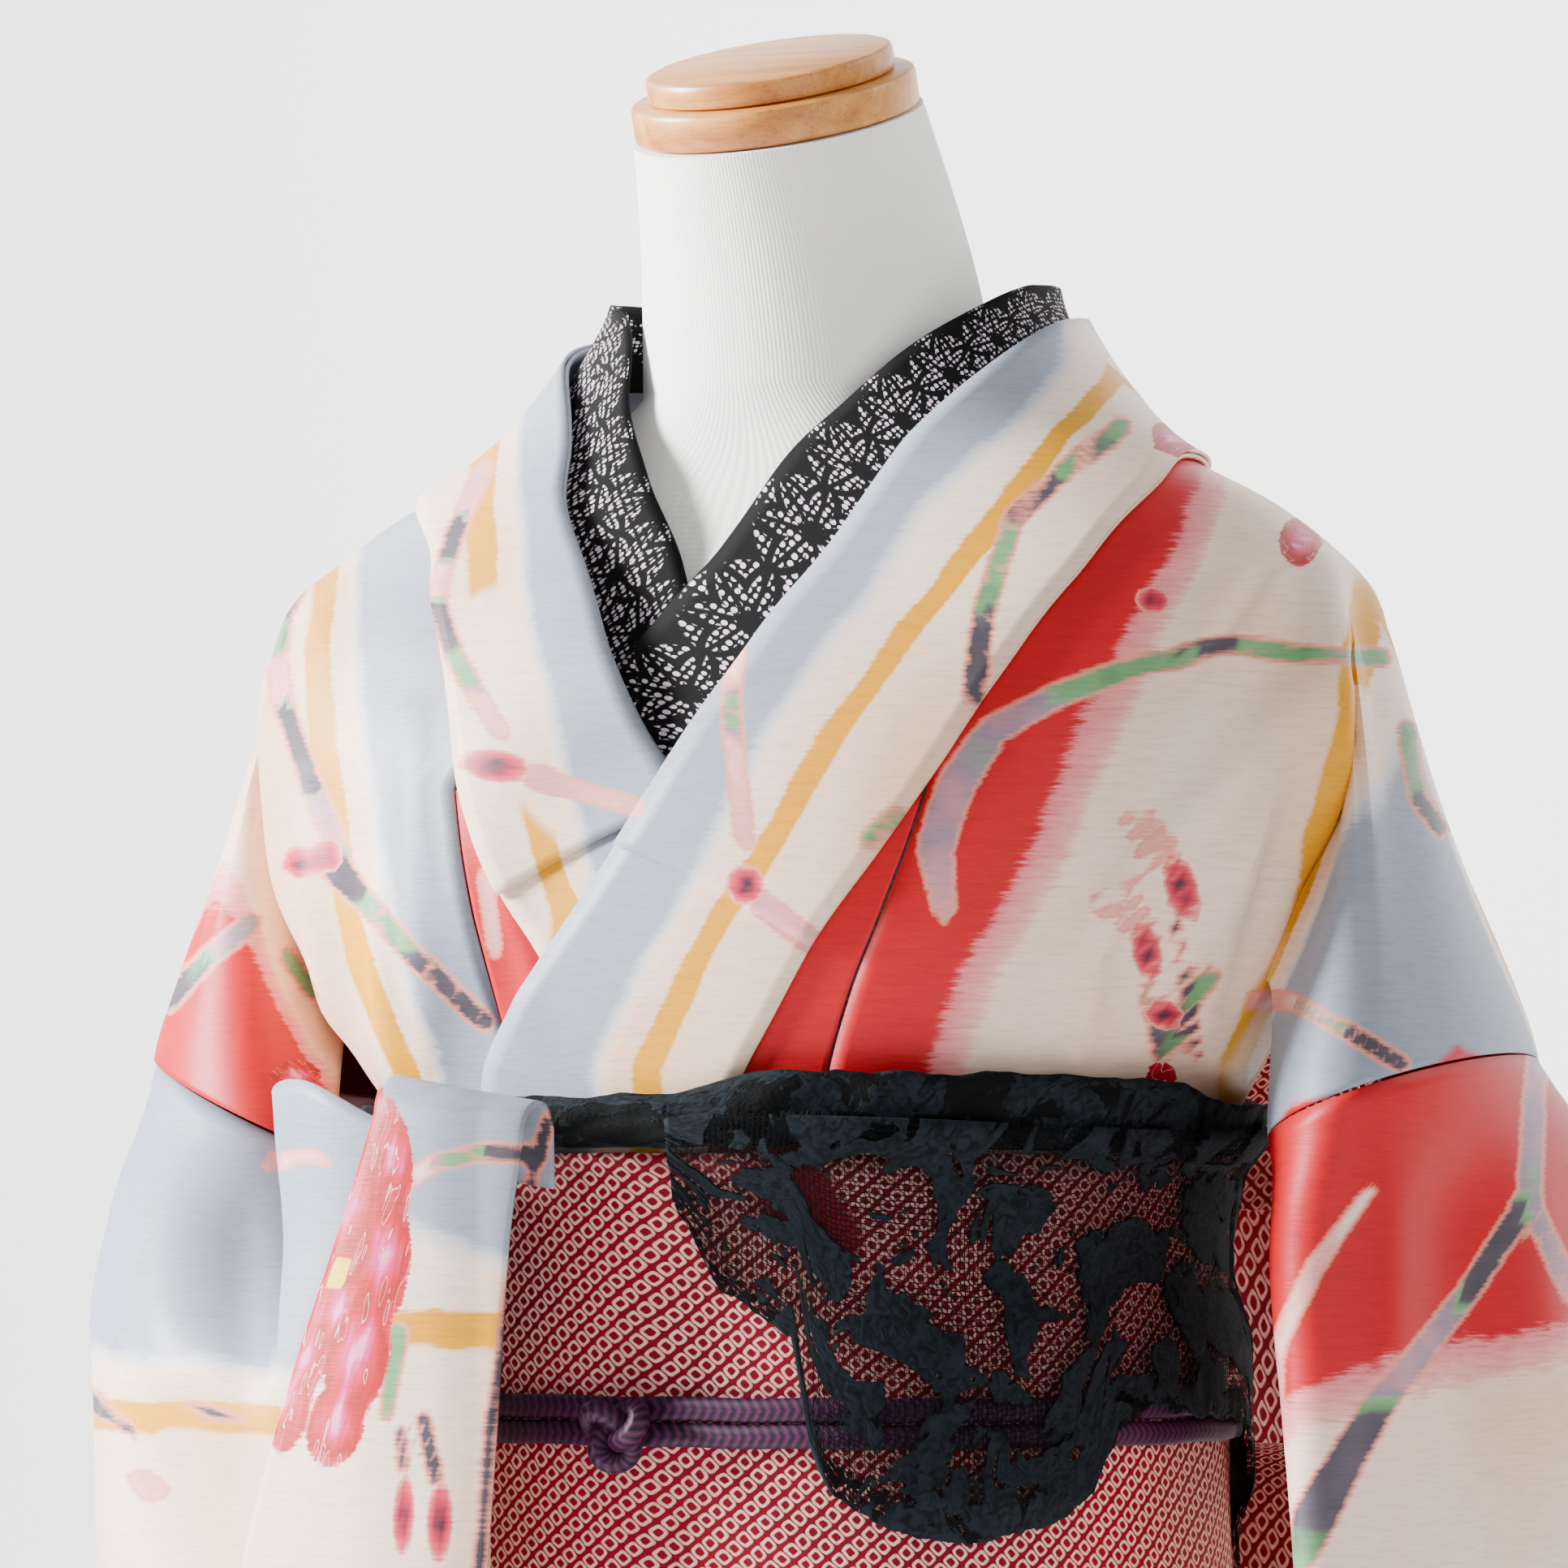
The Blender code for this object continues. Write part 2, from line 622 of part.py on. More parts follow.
def right_sleeve():
    free, sewn = 6, ARMHOLE_PARTS
    top = []
    for k in range(free):
        top.append(Vector([at(RIGHT_FREE_EDGES, "outer_" + axis, k / free) for axis in "xyz"]))
    for k in range(sewn + 1):
        top.append(sewn_point(RIGHT, k / sewn, SLEEVE_GAP))
    for k in range(free - 1, -1, -1):
        top.append(Vector([at(RIGHT_FREE_EDGES, "inner_" + axis, k / free) for axis in "xyz"]))
    count = len(top) - 1
    rear = free + round(0.65 * sewn)
    bag = [bag_point(k / rear, 1) for k in range(rear + 1)]
    bag += [bag_point((count - k) / (count - rear), -1) for k in range(rear + 1, count + 1)]
    rows = []
    for z in (775, 850, 925, 990, 1040, 1070):
        blend = ease((z - 1000) / 96)
        row = [place.lerp(edge, blend) for place, edge in zip(bag, top)]
        gather = 0.1 * max(1000 - z, 0)
        rows.append([Vector((p.x + gather * ease(-p.x / 200 - 0.3), p.y, mix(z, edge.z - (1088 - z), ease((z - 900) / 150))))
                     for p, edge in zip(row, top)])
    rows.append(top)
    return cloth("sleeve_right", rows, GREY_SILK, mirrored=False)


right_sleeve()


# The end of the right sleeve is turned over its own upper edge and hangs in front.

FLAP = table(
    "height left_x right_x",
    (752, -172, -52),
    (930, -141, -44),
    (1000, -118, -39),
    (1060, -94, -35),
    (1101, -80, -29),
)


def flap():
    columns = 9
    rows = []
    for z in (752, 830, 900, 960, 1015, 1060, 1091):
        left, right = at(FLAP, "left_x", z), at(FLAP, "right_x", z)
        row = []
        for c in range(columns + 1):
            u = c / columns
            x = mix(left, right, u)
            slope = 9 * u * ease((z - 1000) / 90)
            row.append(Vector((x, flap_front(x) - 3.6 * math.sin(math.pi * u) ** 0.7, z - slope)))
        rows.append(row)
    top = rows[-1]
    for turn in (30, 60, 90, 125, 160):
        t = math.radians(turn)
        rows.append([p + Vector((0, 10.5 * (1 - math.cos(t)), 11 * math.sin(t))) for p in top])
    rows.append([p + Vector((0, 21, -16)) for p in top])
    return cloth("sleeve_turned_end", rows, CREAM_SILK, thickness=2.0)


def flap_front(x):
    """How far forward the flap's wrong side lies, just clear of the bag behind it."""
    share = curve([-150, -98, -62, -45], [0.4, 0.2, 0.06, 0.0], x)
    return bag_point(share, 1).y - 1.35


flap()


# Sash: a band round the waist and a drum with its tail behind, the hand end through it.

SASH_OFFSET, SASH_THICKNESS = 4.7, 3.3
SASH_FACE = SASH_OFFSET + SASH_THICKNESS

rows = []
for z in (902, 928, 990, 1060, 1078.7):
    rows.append([off_surface(body_surface, 9 * k, z, SASH_OFFSET) for k in range(40)])
cloth("sash_band", rows, SASH_SILK, closed=True, thickness=SASH_THICKNESS)

DRUM = table(
    "step y z",
    (0, 111.3, 1058),
    (1, 118, 1100),
    (2, 132, 1124),
    (3, 162, 1133),
    (4, 196, 1118),
    (5, 216, 1074),
    (6, 222, 1000),
    (7, 220, 925),
    (8, 211, 876),
    (9, 196, 862),
    (10, 181, 872),
    (11, 175, 915),
    (12, 170, 958),
    (13, 159, 972),
    (14, 149, 955),
    (15, 145, 890),
    (16, 144, 830),
    (17, 147, 778),
)
DRUM_HALF_WIDTH = 150
rows = []
for k in range(29):
    y, z = at(DRUM, "y", k * 17 / 28), at(DRUM, "z", k * 17 / 28)
    rows.append([Vector((x, y, z)) for x in (DRUM_HALF_WIDTH, 0, -DRUM_HALF_WIDTH)])
cloth("sash_drum", rows, SASH_SILK, thickness=2.4)

rows = []
for z in (866.7, 905, 945):
    rows.append([Vector((x, 197 - 0.0002 * x * x, z)) for x in (175, 88, 0, -88, -175)])
cloth("sash_hand", rows, SASH_SILK, thickness=2.4)


# Sash scarf: a soft roll along the top of the sash and one loose fall of it in front.

def scarf_roll():
    rings = []
    for k in range(33):
        angle = mix(-222, 42, k / 32)
        swell = 1 + 0.1 * math.sin(k * 1.9) + 0.08 * math.sin(k * 0.8 + 1)
        full = ease((angle + 88) / 12) * ease(-angle / 25)
        ring = []
        for n in range(8):
            t = math.radians(45 * n)
            ring.append(off_surface(body_surface, angle, mix(1090, 1094.5, full) + mix(9.5, 13, full) * math.sin(t),
                                    9.6 + 3.9 * swell * math.cos(t)))
        rings.append(ring)
    return loft("scarf_roll", rings, BLACK_LACE, 80)


scarf_roll()

FALL_EDGE = table(
    "angle low",
    (-87, 1064),
    (-84.5, 1047),
    (-81, 1033),
    (-76, 1026),
    (-71, 1017),
    (-69, 984),
    (-66, 967),
    (-60, 958),
    (-54, 953),
    (-47, 951),
    (-41, 954),
    (-35, 957),
    (-29, 967),
    (-24, 988),
    (-18, 995),
    (-11, 992),
    (-4, 990),
    (3, 989),
    (10, 986),
    (16, 960),
    (20, 905),
    (26, 899),
    (32, 897),
    (38, 896),
)
FALL_OFFSET = table(
    "height offset",
    (930, 8.8),
    (950, 8.8),
    (966, 15.4),
    (1016, 15.4),
    (1036, 8.8),
    (1050, 8.8),
    (1072, 13.0),
    (1079, 15.4),
    (1094, 15.4),
)


def scarf_fall():
    steps = 6
    rows = []
    for r in range(steps + 1):
        row = []
        for angle, low in zip(FALL_EDGE["angle"], FALL_EDGE["low"]):
            z = mix(low, 1094, r / steps)
            row.append(off_surface(body_surface, angle, z, level(FALL_OFFSET, "offset", z)))
        rows.append(row)
    return cloth("scarf_fall", rows, BLACK_LACE, thickness=1.0)


scarf_fall()


# Sash cord, tied once in front.

CORD_HEIGHT, CORD_WIDTH, CORD_THICKNESS = 990, 17, 5.2
rings = []
for k in range(40):
    angle = 9 * k
    ring = []
    for across, out in ((-0.5, 0.4), (-0.36, 0), (0.36, 0), (0.5, 0.4), (0.3, 1), (-0.3, 1)):
        ring.append(off_surface(body_surface, angle, CORD_HEIGHT + CORD_WIDTH * across,
                                SASH_FACE + 0.5 + CORD_THICKNESS * out))
    rings.append(ring)
loft("sash_cord", rings, PURPLE_BRAID, 60, joined=True)

rings = []
for x, radius in ((-23, 3), (-20, 7.5), (-14, 10.5), (-8, 11), (-1, 10.5), (4, 8), (7, 3)):
    ring = []
    for n in range(10):
        t = math.radians(36 * n)
        ring.append(Vector((x, -134.8 + 0.5 * radius * math.cos(t),
                            987 - 0.35 * x + 1.15 * radius * math.sin(t))))
    rings.append(ring)
loft("sash_cord_knot", rings, PURPLE_BRAID, 60)


# Dress form: a torso and leaning neck without limbs, on a pole and a round foot.

FORM_INSET = table(
    "height inset",
    (800, 18.5),
    (935, 18.5),
    (990, 14),
    (1150, 13),
    (1210, 10),
    (1245, 4),
    (1264, 2.2),
    (1320, 2.2),
)
NECK = table(
    "step y z half_width half_depth tilt",
    (0, 0, 1338, 62, 61, 0),
    (1, -3, 1354, 60.5, 60, 3),
    (2, -9, 1376, 58, 58, 8),
    (3, -17, 1397, 55, 55, 13),
    (4, -26, 1416, 52, 52.5, 18),
    (5, -33, 1430, 50, 51, 20),
)
FORM_SIDES = 30


def neck_ring(step, sides=FORM_SIDES):
    y, z, width, depth, tilt = [at(NECK, column, step) for column in list(NECK)[1:]]
    return tilted_ring(y, z, width, depth, tilt, sides)


def tilted_ring(y, z, half_width, half_depth, tilt, sides):
    lean = math.radians(tilt)
    ring = []
    for k in range(sides):
        t = 2 * math.pi * k / sides
        across, deep = half_width * math.cos(t), half_depth * math.sin(t)
        ring.append(Vector((across, y + deep * math.cos(lean), z + deep * math.sin(lean))))
    return ring


def form_ring(z):
    ring = []
    for k in range(FORM_SIDES):
        angle = 360 * k / FORM_SIDES
        from_front = abs((angle + 90 + 180) % 360 - 180)
        inset = max(level(FORM_INSET, "inset", z), 13.6 * ease((66 - from_front) / 20))
        place = off_surface(body_surface, angle, z, -inset)
        ring.append(Vector((place.x, place.y, z)))
    return ring


def dress_form():
    rings = [form_ring(z) for z in (800, 870, 897, 935, 990, 1085, 1120, 1170, 1210, 1244, 1256, 1268, 1281, 1292, 1303)]
    base = neck_ring(0)
    for z, share in ((1314, 0.36), (1325, 0.72)):
        ring = []
        for p, q in zip(form_ring(z), base):
            ring.append(Vector((mix(p.x, q.x, share), mix(p.y, q.y, share), z)))
        rings.append(ring)
    rings += [neck_ring(step) for step in range(6)]
    return loft("form_body", rings, KNIT_COVER, 80)


dress_form()

CAP_TILT = 20
CAP = table(
    "step rise half_width half_depth",
    (0, 0.4, 47.5, 46.5),
    (1, 2.2, 49.5, 48.5),
    (2, 11.8, 49.5, 48.5),
    (3, 13.4, 48, 47),
    (4, 13.8, 41.5, 40.5),
    (5, 15.2, 43, 42),
    (6, 20.8, 43, 42),
    (7, 22.4, 41.5, 40.5),
)


def cap(name, first, last):
    lean = math.radians(CAP_TILT)
    rings = []
    for step in range(first, last + 1):
        rise = CAP["rise"][step]
        rings.append(tilted_ring(-33 - rise * math.sin(lean), 1430 + rise * math.cos(lean),
                                 CAP["half_width"][step], CAP["half_depth"][step], CAP_TILT, 32))
    return loft(name, rings, BEECH)


cap("cap_lower", 0, 3)
cap("cap_upper", 4, 7)


def turned(name, surface, sides, *profile):
    """A round solid about the pole's axis, from (radius, height) pairs listed upwards."""
    rings = [[Vector((r * math.cos(2 * math.pi * k / sides), r * math.sin(2 * math.pi * k / sides), z))
              for k in range(sides)] for r, z in profile]
    return loft(name, rings, surface)


turned("foot", BEECH, 32, (166, 0), (170, 3), (170, 20), (165, 25))
turned("pole", STEEL, 16, (26, 25.4), (26, 33), (14, 37), (14, 799.4))
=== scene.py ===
import math
from functools import lru_cache

import bmesh
import bpy
import numpy as np
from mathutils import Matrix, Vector, noise


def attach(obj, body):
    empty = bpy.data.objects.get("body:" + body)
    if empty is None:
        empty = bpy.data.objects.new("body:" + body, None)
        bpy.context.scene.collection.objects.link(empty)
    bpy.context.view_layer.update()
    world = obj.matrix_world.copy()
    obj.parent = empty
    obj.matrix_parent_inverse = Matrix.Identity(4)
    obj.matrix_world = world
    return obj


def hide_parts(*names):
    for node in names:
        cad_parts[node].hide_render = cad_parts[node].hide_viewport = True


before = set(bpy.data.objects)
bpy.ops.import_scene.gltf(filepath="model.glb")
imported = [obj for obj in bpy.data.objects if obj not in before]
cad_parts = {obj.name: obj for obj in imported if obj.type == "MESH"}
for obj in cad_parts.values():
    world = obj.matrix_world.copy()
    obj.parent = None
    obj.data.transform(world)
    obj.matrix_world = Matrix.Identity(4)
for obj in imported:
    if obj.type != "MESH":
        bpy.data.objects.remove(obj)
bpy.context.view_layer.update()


# Camera.  It stands 2.4 m away, 27 degrees towards the wearer's left, a little below the
# chest and looking slightly up.  Patterns and folds are placed by the view that it gives,
# in units of which 966 make the picture's width.

AIM = Vector((-0.0116, -0.0059, 1.205))
CAMERA_TURN, CAMERA_RISE = math.radians(27), math.radians(-3)
CAMERA_DISTANCE, HALF_VIEW, HALF_PICTURE = 2.4, 0.2705, 483

backward = Vector((math.sin(CAMERA_TURN) * math.cos(CAMERA_RISE),
                   -math.cos(CAMERA_TURN) * math.cos(CAMERA_RISE), math.sin(CAMERA_RISE)))
rightward = Vector((math.cos(CAMERA_TURN), math.sin(CAMERA_TURN), 0))
upward = backward.cross(rightward)
camera = bpy.data.objects.new("camera", bpy.data.cameras.new("camera"))
camera.location = AIM + backward * CAMERA_DISTANCE
camera.rotation_euler = (-backward).to_track_quat("-Z", "Y").to_euler()
camera.data.sensor_width = 36
camera.data.lens = 18 * CAMERA_DISTANCE / HALF_VIEW
bpy.context.scene.collection.objects.link(camera)
bpy.context.scene.camera = camera


def picture(points):
    """Places in the picture, x to the right and y down, of points in metres."""
    from_camera = points - np.array(camera.location)
    away = -from_camera @ np.array(backward)
    scale = HALF_PICTURE / (HALF_VIEW / CAMERA_DISTANCE) / away
    return (HALF_PICTURE + from_camera @ np.array(rightward) * scale,
            HALF_PICTURE - from_camera @ np.array(upward) * scale)


# Studio.  A pale matt sweep of board behind and below, a large soft light high on the
# left, a weaker one on the right, two that wash the wall, and a pale room all round.

def colour(code):
    """An sRGB hex colour as linear red, green, blue and alpha."""
    parts = [int(code[k:k + 2], 16) / 255 for k in (1, 3, 5)]
    return tuple(c / 12.92 if c <= 0.04045 else ((c + 0.055) / 1.055) ** 2.4 for c in parts) + (1,)


def add(tree, kind, inputs=None, stops=(), **settings):
    """Adds a shader node with its settings, colour stops, values and links."""
    made = tree.nodes.new("ShaderNode" + kind)
    for name, value in settings.items():
        setattr(made, name, value)
    for k, (place, code) in enumerate(stops):
        ramp = made.color_ramp.elements
        stop = ramp[k] if k < 2 else ramp.new(place)
        stop.position = place
        stop.color = colour(code)
    for socket, value in (inputs or {}).items():
        if isinstance(value, bpy.types.Node):
            value = value.outputs[0]
        if isinstance(value, bpy.types.NodeSocket):
            tree.links.new(value, made.inputs[socket])
        else:
            made.inputs[socket].default_value = value
    return made


def new_finish(name, roughness, **values):
    """A material with its tree and its Principled shader."""
    made = bpy.data.materials.new(name)
    made.use_nodes = True
    shader = made.node_tree.nodes["Principled BSDF"]
    shader.inputs["Roughness"].default_value = roughness
    for socket, value in values.items():
        shader.inputs[socket.replace("_", " ")].default_value = value
    return made, made.node_tree, shader


board, tree, shader = new_finish("painted_board", 0.9)
mottle = add(tree, "TexNoise", {"Scale": 2.0, "Detail": 2.0})
shade = add(tree, "ValToRGB", {0: mottle}, stops=((0.3, "#F2F1F0"), (0.7, "#F6F5F4")))
tree.links.new(shade.outputs[0], shader.inputs["Base Color"])

form = bmesh.new()
bmesh.ops.create_grid(form, x_segments=1, y_segments=40, size=1)
for v in form.verts:
    along = (v.co.y + 1) / 2
    turn = math.radians(90) * min(max((along - 0.35) / 0.3, 0), 1)
    back = 2.2 + 1.2 * math.sin(turn) - 4.4 * max(0.35 - along, 0) / 0.35
    rise = 1.2 * (1 - math.cos(turn)) + 3.2 * max(along - 0.65, 0) / 0.35
    v.co = Vector((4.5 * v.co.x, back, rise))
bmesh.ops.recalc_face_normals(form, faces=form.faces)
sweep_mesh = bpy.data.meshes.new("studio_sweep")
form.to_mesh(sweep_mesh)
form.free()
sweep_mesh.shade_smooth()
sweep_mesh.materials.append(board)
sweep = bpy.data.objects.new("studio_sweep", sweep_mesh)
bpy.context.scene.collection.objects.link(sweep)

for name, power, size, place, target in (
        ("window_light", 560, 0.9, (-2.6, -1.3, 2.1), (0, 0, 1.15)),
        ("fill_light", 24, 2.2, (2.2, -2.0, 1.3), (0, 0, 1.15)),
        ("wall_light_left", 130, 1.8, (-1.9, 1.0, 2.8), (-0.6, 3.4, 1.3)),
        ("wall_light_right", 70, 1.8, (1.6, 1.0, 2.8), (0.4, 3.4, 1.3))):
    lamp = bpy.data.lights.new(name, "AREA")
    lamp.energy, lamp.size = power, size
    held = bpy.data.objects.new(name, lamp)
    held.location = place
    held.rotation_euler = (Vector(target) - held.location).to_track_quat("-Z", "Y").to_euler()
    bpy.context.scene.collection.objects.link(held)
world = bpy.data.worlds.new("pale_room")
world.use_nodes = True
world.node_tree.nodes["Background"].inputs[0].default_value = colour("#F6F7F8")
world.node_tree.nodes["Background"].inputs[1].default_value = 0.55
bpy.context.scene.world = world


# Dress form.  A padded torso and neck without limbs, under a tight white cotton knit
# whose ribs run up the neck.  It carries everything, and stands on a pole.

MM = 0.001


def table(columns, *rows):
    """Rows of numbers under named columns; the first column is the one looked up."""
    names = columns.split()
    return {name: [row[i] for row in rows] for i, name in enumerate(names)}


def curve(xs, ys, x):
    """A smooth curve through the points (xs, ys), flat beyond both ends."""
    if x <= xs[0]:
        return ys[0]
    if x >= xs[-1]:
        return ys[-1]
    i = max(k for k in range(len(xs) - 1) if xs[k] <= x)
    slope = []
    for k in (i, i + 1):
        low, high = max(k - 1, 0), min(k + 1, len(xs) - 1)
        slope.append((ys[high] - ys[low]) / (xs[high] - xs[low]))
    span = xs[i + 1] - xs[i]
    t = (x - xs[i]) / span
    rise = ys[i + 1] - ys[i]
    cubic = (slope[0] + slope[1]) * span - 2 * rise
    square = 3 * rise - (2 * slope[0] + slope[1]) * span
    return ys[i] + slope[0] * span * t + square * t * t + cubic * t ** 3


def at(rows, column, x):
    return curve(rows[next(iter(rows))], rows[column], x)


def level(rows, column, x):
    """Straight lines between the rows, where a smooth curve would swing past them."""
    return float(np.interp(x, rows[next(iter(rows))], rows[column]))


def mix(a, b, t):
    return a + (b - a) * t


def ease(t):
    t = min(max(t, 0.0), 1.0)
    return t * t * (3 - 2 * t)


# heights and half sizes of the worn outline; the skirt hangs straight below it
BODY = table(
    "height right_width left_width front back centre",
    (60, 156, 156, 134, 122, 0),
    (450, 160, 160, 136, 123, 0),
    (750, 163, 163, 135, 122, 0),
    (844, 159, 159, 131, 119, 0),
    (870, 150, 150, 126, 112, 0),
    (897, 141, 141, 120, 106, 0),
    (925, 136, 136, 117, 103, 0),
    (990, 134, 134, 115, 102, 0),
    (1060, 134.5, 134.5, 115.5, 102.5, 0),
    (1080, 136, 136, 117, 104, 0),
    (1094, 151, 146, 120, 107, 0),
    (1110, 164, 156, 123, 109, 0),
    (1157, 188, 181, 128, 112, 0),
    (1210, 205, 200, 124, 110, 2),
    (1244, 209, 202, 112, 106, 4),
    (1265, 206, 197, 100, 102, 5),
    (1280, 192, 183, 90, 99, 6),
    (1297, 168, 160, 80, 96, 6),
    (1317, 128, 123, 71, 92, 6),
    (1340, 102, 100, 64, 89, 6),
    (1366, 83, 82, 59, 87, 6),
    (1384, 76, 76, 57, 86, 6),
)
ROUNDNESS = 2 / 2.2    # a little squarer than an ellipse


def rounded(value):
    return math.copysign(abs(value) ** ROUNDNESS, value)


@lru_cache(maxsize=None)
def section(height):
    return tuple(at(BODY, column, height) for column in list(BODY)[1:])


def body_surface(angle, height):
    """The worn outline: angle 0 is the wearer's left, -90 the front and 90 the back."""
    right_width, left_width, front, back, centre = section(round(height, 3))
    c, s = math.cos(math.radians(angle)), math.sin(math.radians(angle))
    return Vector(((left_width if c > 0 else right_width) * rounded(c),
                   centre + (back if s > 0 else front) * rounded(s), height))


def off_surface(surface, angle, height, offset):
    """The point `offset` outside a surface, along its normal."""
    step = 0.5
    across = surface(angle + step, height) - surface(angle - step, height)
    along = surface(angle, height + step) - surface(angle, height - step)
    return surface(angle, height) + across.cross(along).normalized() * offset


FORM_INSET = table("height inset", (800, 18.5), (935, 18.5), (990, 14), (1150, 13),
                   (1210, 10), (1245, 4), (1264, 2.2), (1320, 2.2))
NECK = table(
    "step y z half_width half_depth tilt",
    (0, 0, 1338, 62, 61, 0),
    (1, -3, 1354, 60.5, 60, 3),
    (2, -9, 1376, 58, 58, 8),
    (3, -17, 1397, 55, 55, 13),
    (4, -26, 1416, 52, 52.5, 18),
    (5, -33, 1430, 50, 51, 20),
)
SHOULDER_SHARE, NECK_SHARE, SHOULDER_HEIGHT = 0.6, 0.72, 1303


def tilted_oval(turn, y, z, half_width, half_depth, tilt):
    lean, t = math.radians(tilt), math.radians(turn)
    deep = half_depth * math.sin(t)
    return Vector((half_width * math.cos(t), y + deep * math.cos(lean), z + deep * math.sin(lean)))


def form_point(angle, height):
    from_front = abs((angle + 270) % 360 - 180)
    inset = max(level(FORM_INSET, "inset", height), 13.6 * ease((66 - from_front) / 20))
    place = off_surface(body_surface, angle, height, -inset)
    return Vector((place.x, place.y, height))


def form_place(c, r):
    """Up the torso for the first three fifths, over the shoulders, then up the neck."""
    angle = 360 * c
    if r <= SHOULDER_SHARE:
        return form_point(angle, mix(800, SHOULDER_HEIGHT, r / SHOULDER_SHARE))
    step = max((r - NECK_SHARE) / (1 - NECK_SHARE) * NECK["step"][-1], 0)
    place = tilted_oval(angle, *[at(NECK, column, step) for column in list(NECK)[1:]])
    if r >= NECK_SHARE:
        return place
    share = (r - SHOULDER_SHARE) / (NECK_SHARE - SHOULDER_SHARE)
    low = form_point(angle, mix(SHOULDER_HEIGHT, 1336, share))
    blend = ease(share) * 0.25 + share * 0.75
    return Vector((mix(low.x, place.x, blend), mix(low.y, place.y, blend),
                   mix(SHOULDER_HEIGHT, NECK["z"][0], share)))


def in_slot(made, node):
    """Puts a finished piece in place of its CAD node, on the one rigid body."""
    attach(made, "root")
    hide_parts(node)


def link(name, form, finishes, smooth_angle=50):
    """An object from a bmesh, shaded smooth but for its sharp edges."""
    mesh = bpy.data.meshes.new(name)
    form.to_mesh(mesh)
    form.free()
    for finish in finishes:
        mesh.materials.append(finish)
    mesh.shade_smooth()
    mesh.set_sharp_from_angle(angle=math.radians(smooth_angle))
    made = bpy.data.objects.new(name, mesh)
    bpy.context.scene.collection.objects.link(made)
    return made


def lay_bolt(faces, uvs, size):
    """UVs of a fresh grid, whose corners are the corners of a cloth of that size in metres."""
    for face in faces:
        for loop in face.loops:
            corner = loop.vert.co
            loop[uvs].uv = ((corner.x + 1) / 2 * size[0], (corner.y + 1) / 2 * size[1])


def rolled_solid(name, around, up, place, finishes, smooth_angle=60, size=(1.0, 1.0)):
    """A closed solid whose skin is a grid rolled up; its two ends are capped."""
    form = bmesh.new()
    uvs = form.loops.layers.uv.new("bolt")
    bmesh.ops.create_grid(form, x_segments=around, y_segments=up, size=1)
    lay_bolt(form.faces, uvs, size)
    for v in form.verts:
        v.co = place((v.co.x + 1) / 2, (v.co.y + 1) / 2) * MM
    bmesh.ops.remove_doubles(form, verts=form.verts, dist=1e-6)
    ends = [e for e in form.edges if e.is_boundary]
    bmesh.ops.holes_fill(form, edges=ends, sides=0)
    bmesh.ops.recalc_face_normals(form, faces=form.faces)
    return link(name, form, finishes, smooth_angle)


def wire(tree, shader, base, height, strength, distance):
    """Gives a finish its base colour and its relief."""
    relief = add(tree, "Bump", {"Strength": strength, "Distance": distance, "Height": height})
    tree.links.new(base.outputs[0], shader.inputs["Base Color"])
    tree.links.new(relief.outputs[0], shader.inputs["Normal"])


# Cotton rib knit, stretched tight: matt, with 250 wales up the form, 1.5 mm apart at the neck.
knit, tree, shader = new_finish("cotton_rib_knit", 0.9, Sheen_Weight=0.25, Sheen_Roughness=0.6)
place = add(tree, "TexCoord")
uv = add(tree, "SeparateXYZ", {0: place.outputs["UV"]})
wales = add(tree, "Math", {0: uv.outputs[0], 1: 2 * math.pi * 250}, operation="MULTIPLY")
wales = add(tree, "Math", {0: wales}, operation="SINE")
loops = add(tree, "Math", {0: uv.outputs[1], 1: 2 * math.pi * 420}, operation="MULTIPLY")
loops = add(tree, "Math", {0: loops}, operation="SINE")
loops = add(tree, "Math", {0: loops, 1: 0.35, 2: wales}, operation="MULTIPLY_ADD")
fuzz = add(tree, "TexNoise", {"Vector": place.outputs["Object"], "Scale": 900.0, "Detail": 3.0})
rough = add(tree, "Math", {0: fuzz, 1: 1.2, 2: loops}, operation="MULTIPLY_ADD")
soil = add(tree, "TexNoise", {"Vector": place.outputs["Object"], "Scale": 14.0, "Detail": 3.0})
shade = add(tree, "ValToRGB", {0: soil}, stops=((0.3, "#F1EFE9"), (0.72, "#F8F7F3")))
wire(tree, shader, shade, rough, 0.16, 0.0006)

form_body = rolled_solid("dress_form_torso", 144, 150, form_place, [knit])
in_slot(form_body, "form_body")


# Cap of the neck.  Two turned tiers of pale rubberwood under satin varnish, screwed on
# over the neck's end and leaning with it.

CAP_TILT = NECK["tilt"][-1]
CAP_LOWER = table("step rise half_width half_depth", (0, 0.4, 47.5, 46.5), (1, 1.0, 49, 48),
                  (2, 2.4, 49.5, 48.5), (3, 11.4, 49.5, 48.5), (4, 12.8, 49, 48),
                  (5, 13.4, 47.6, 46.6))
CAP_UPPER = table("step rise half_width half_depth", (0, 13.8, 41.5, 40.5), (1, 14.4, 42.7, 41.7),
                  (2, 15.6, 43, 42), (3, 20.4, 43, 42), (4, 21.8, 42.4, 41.4),
                  (5, 22.4, 41.0, 40.0))

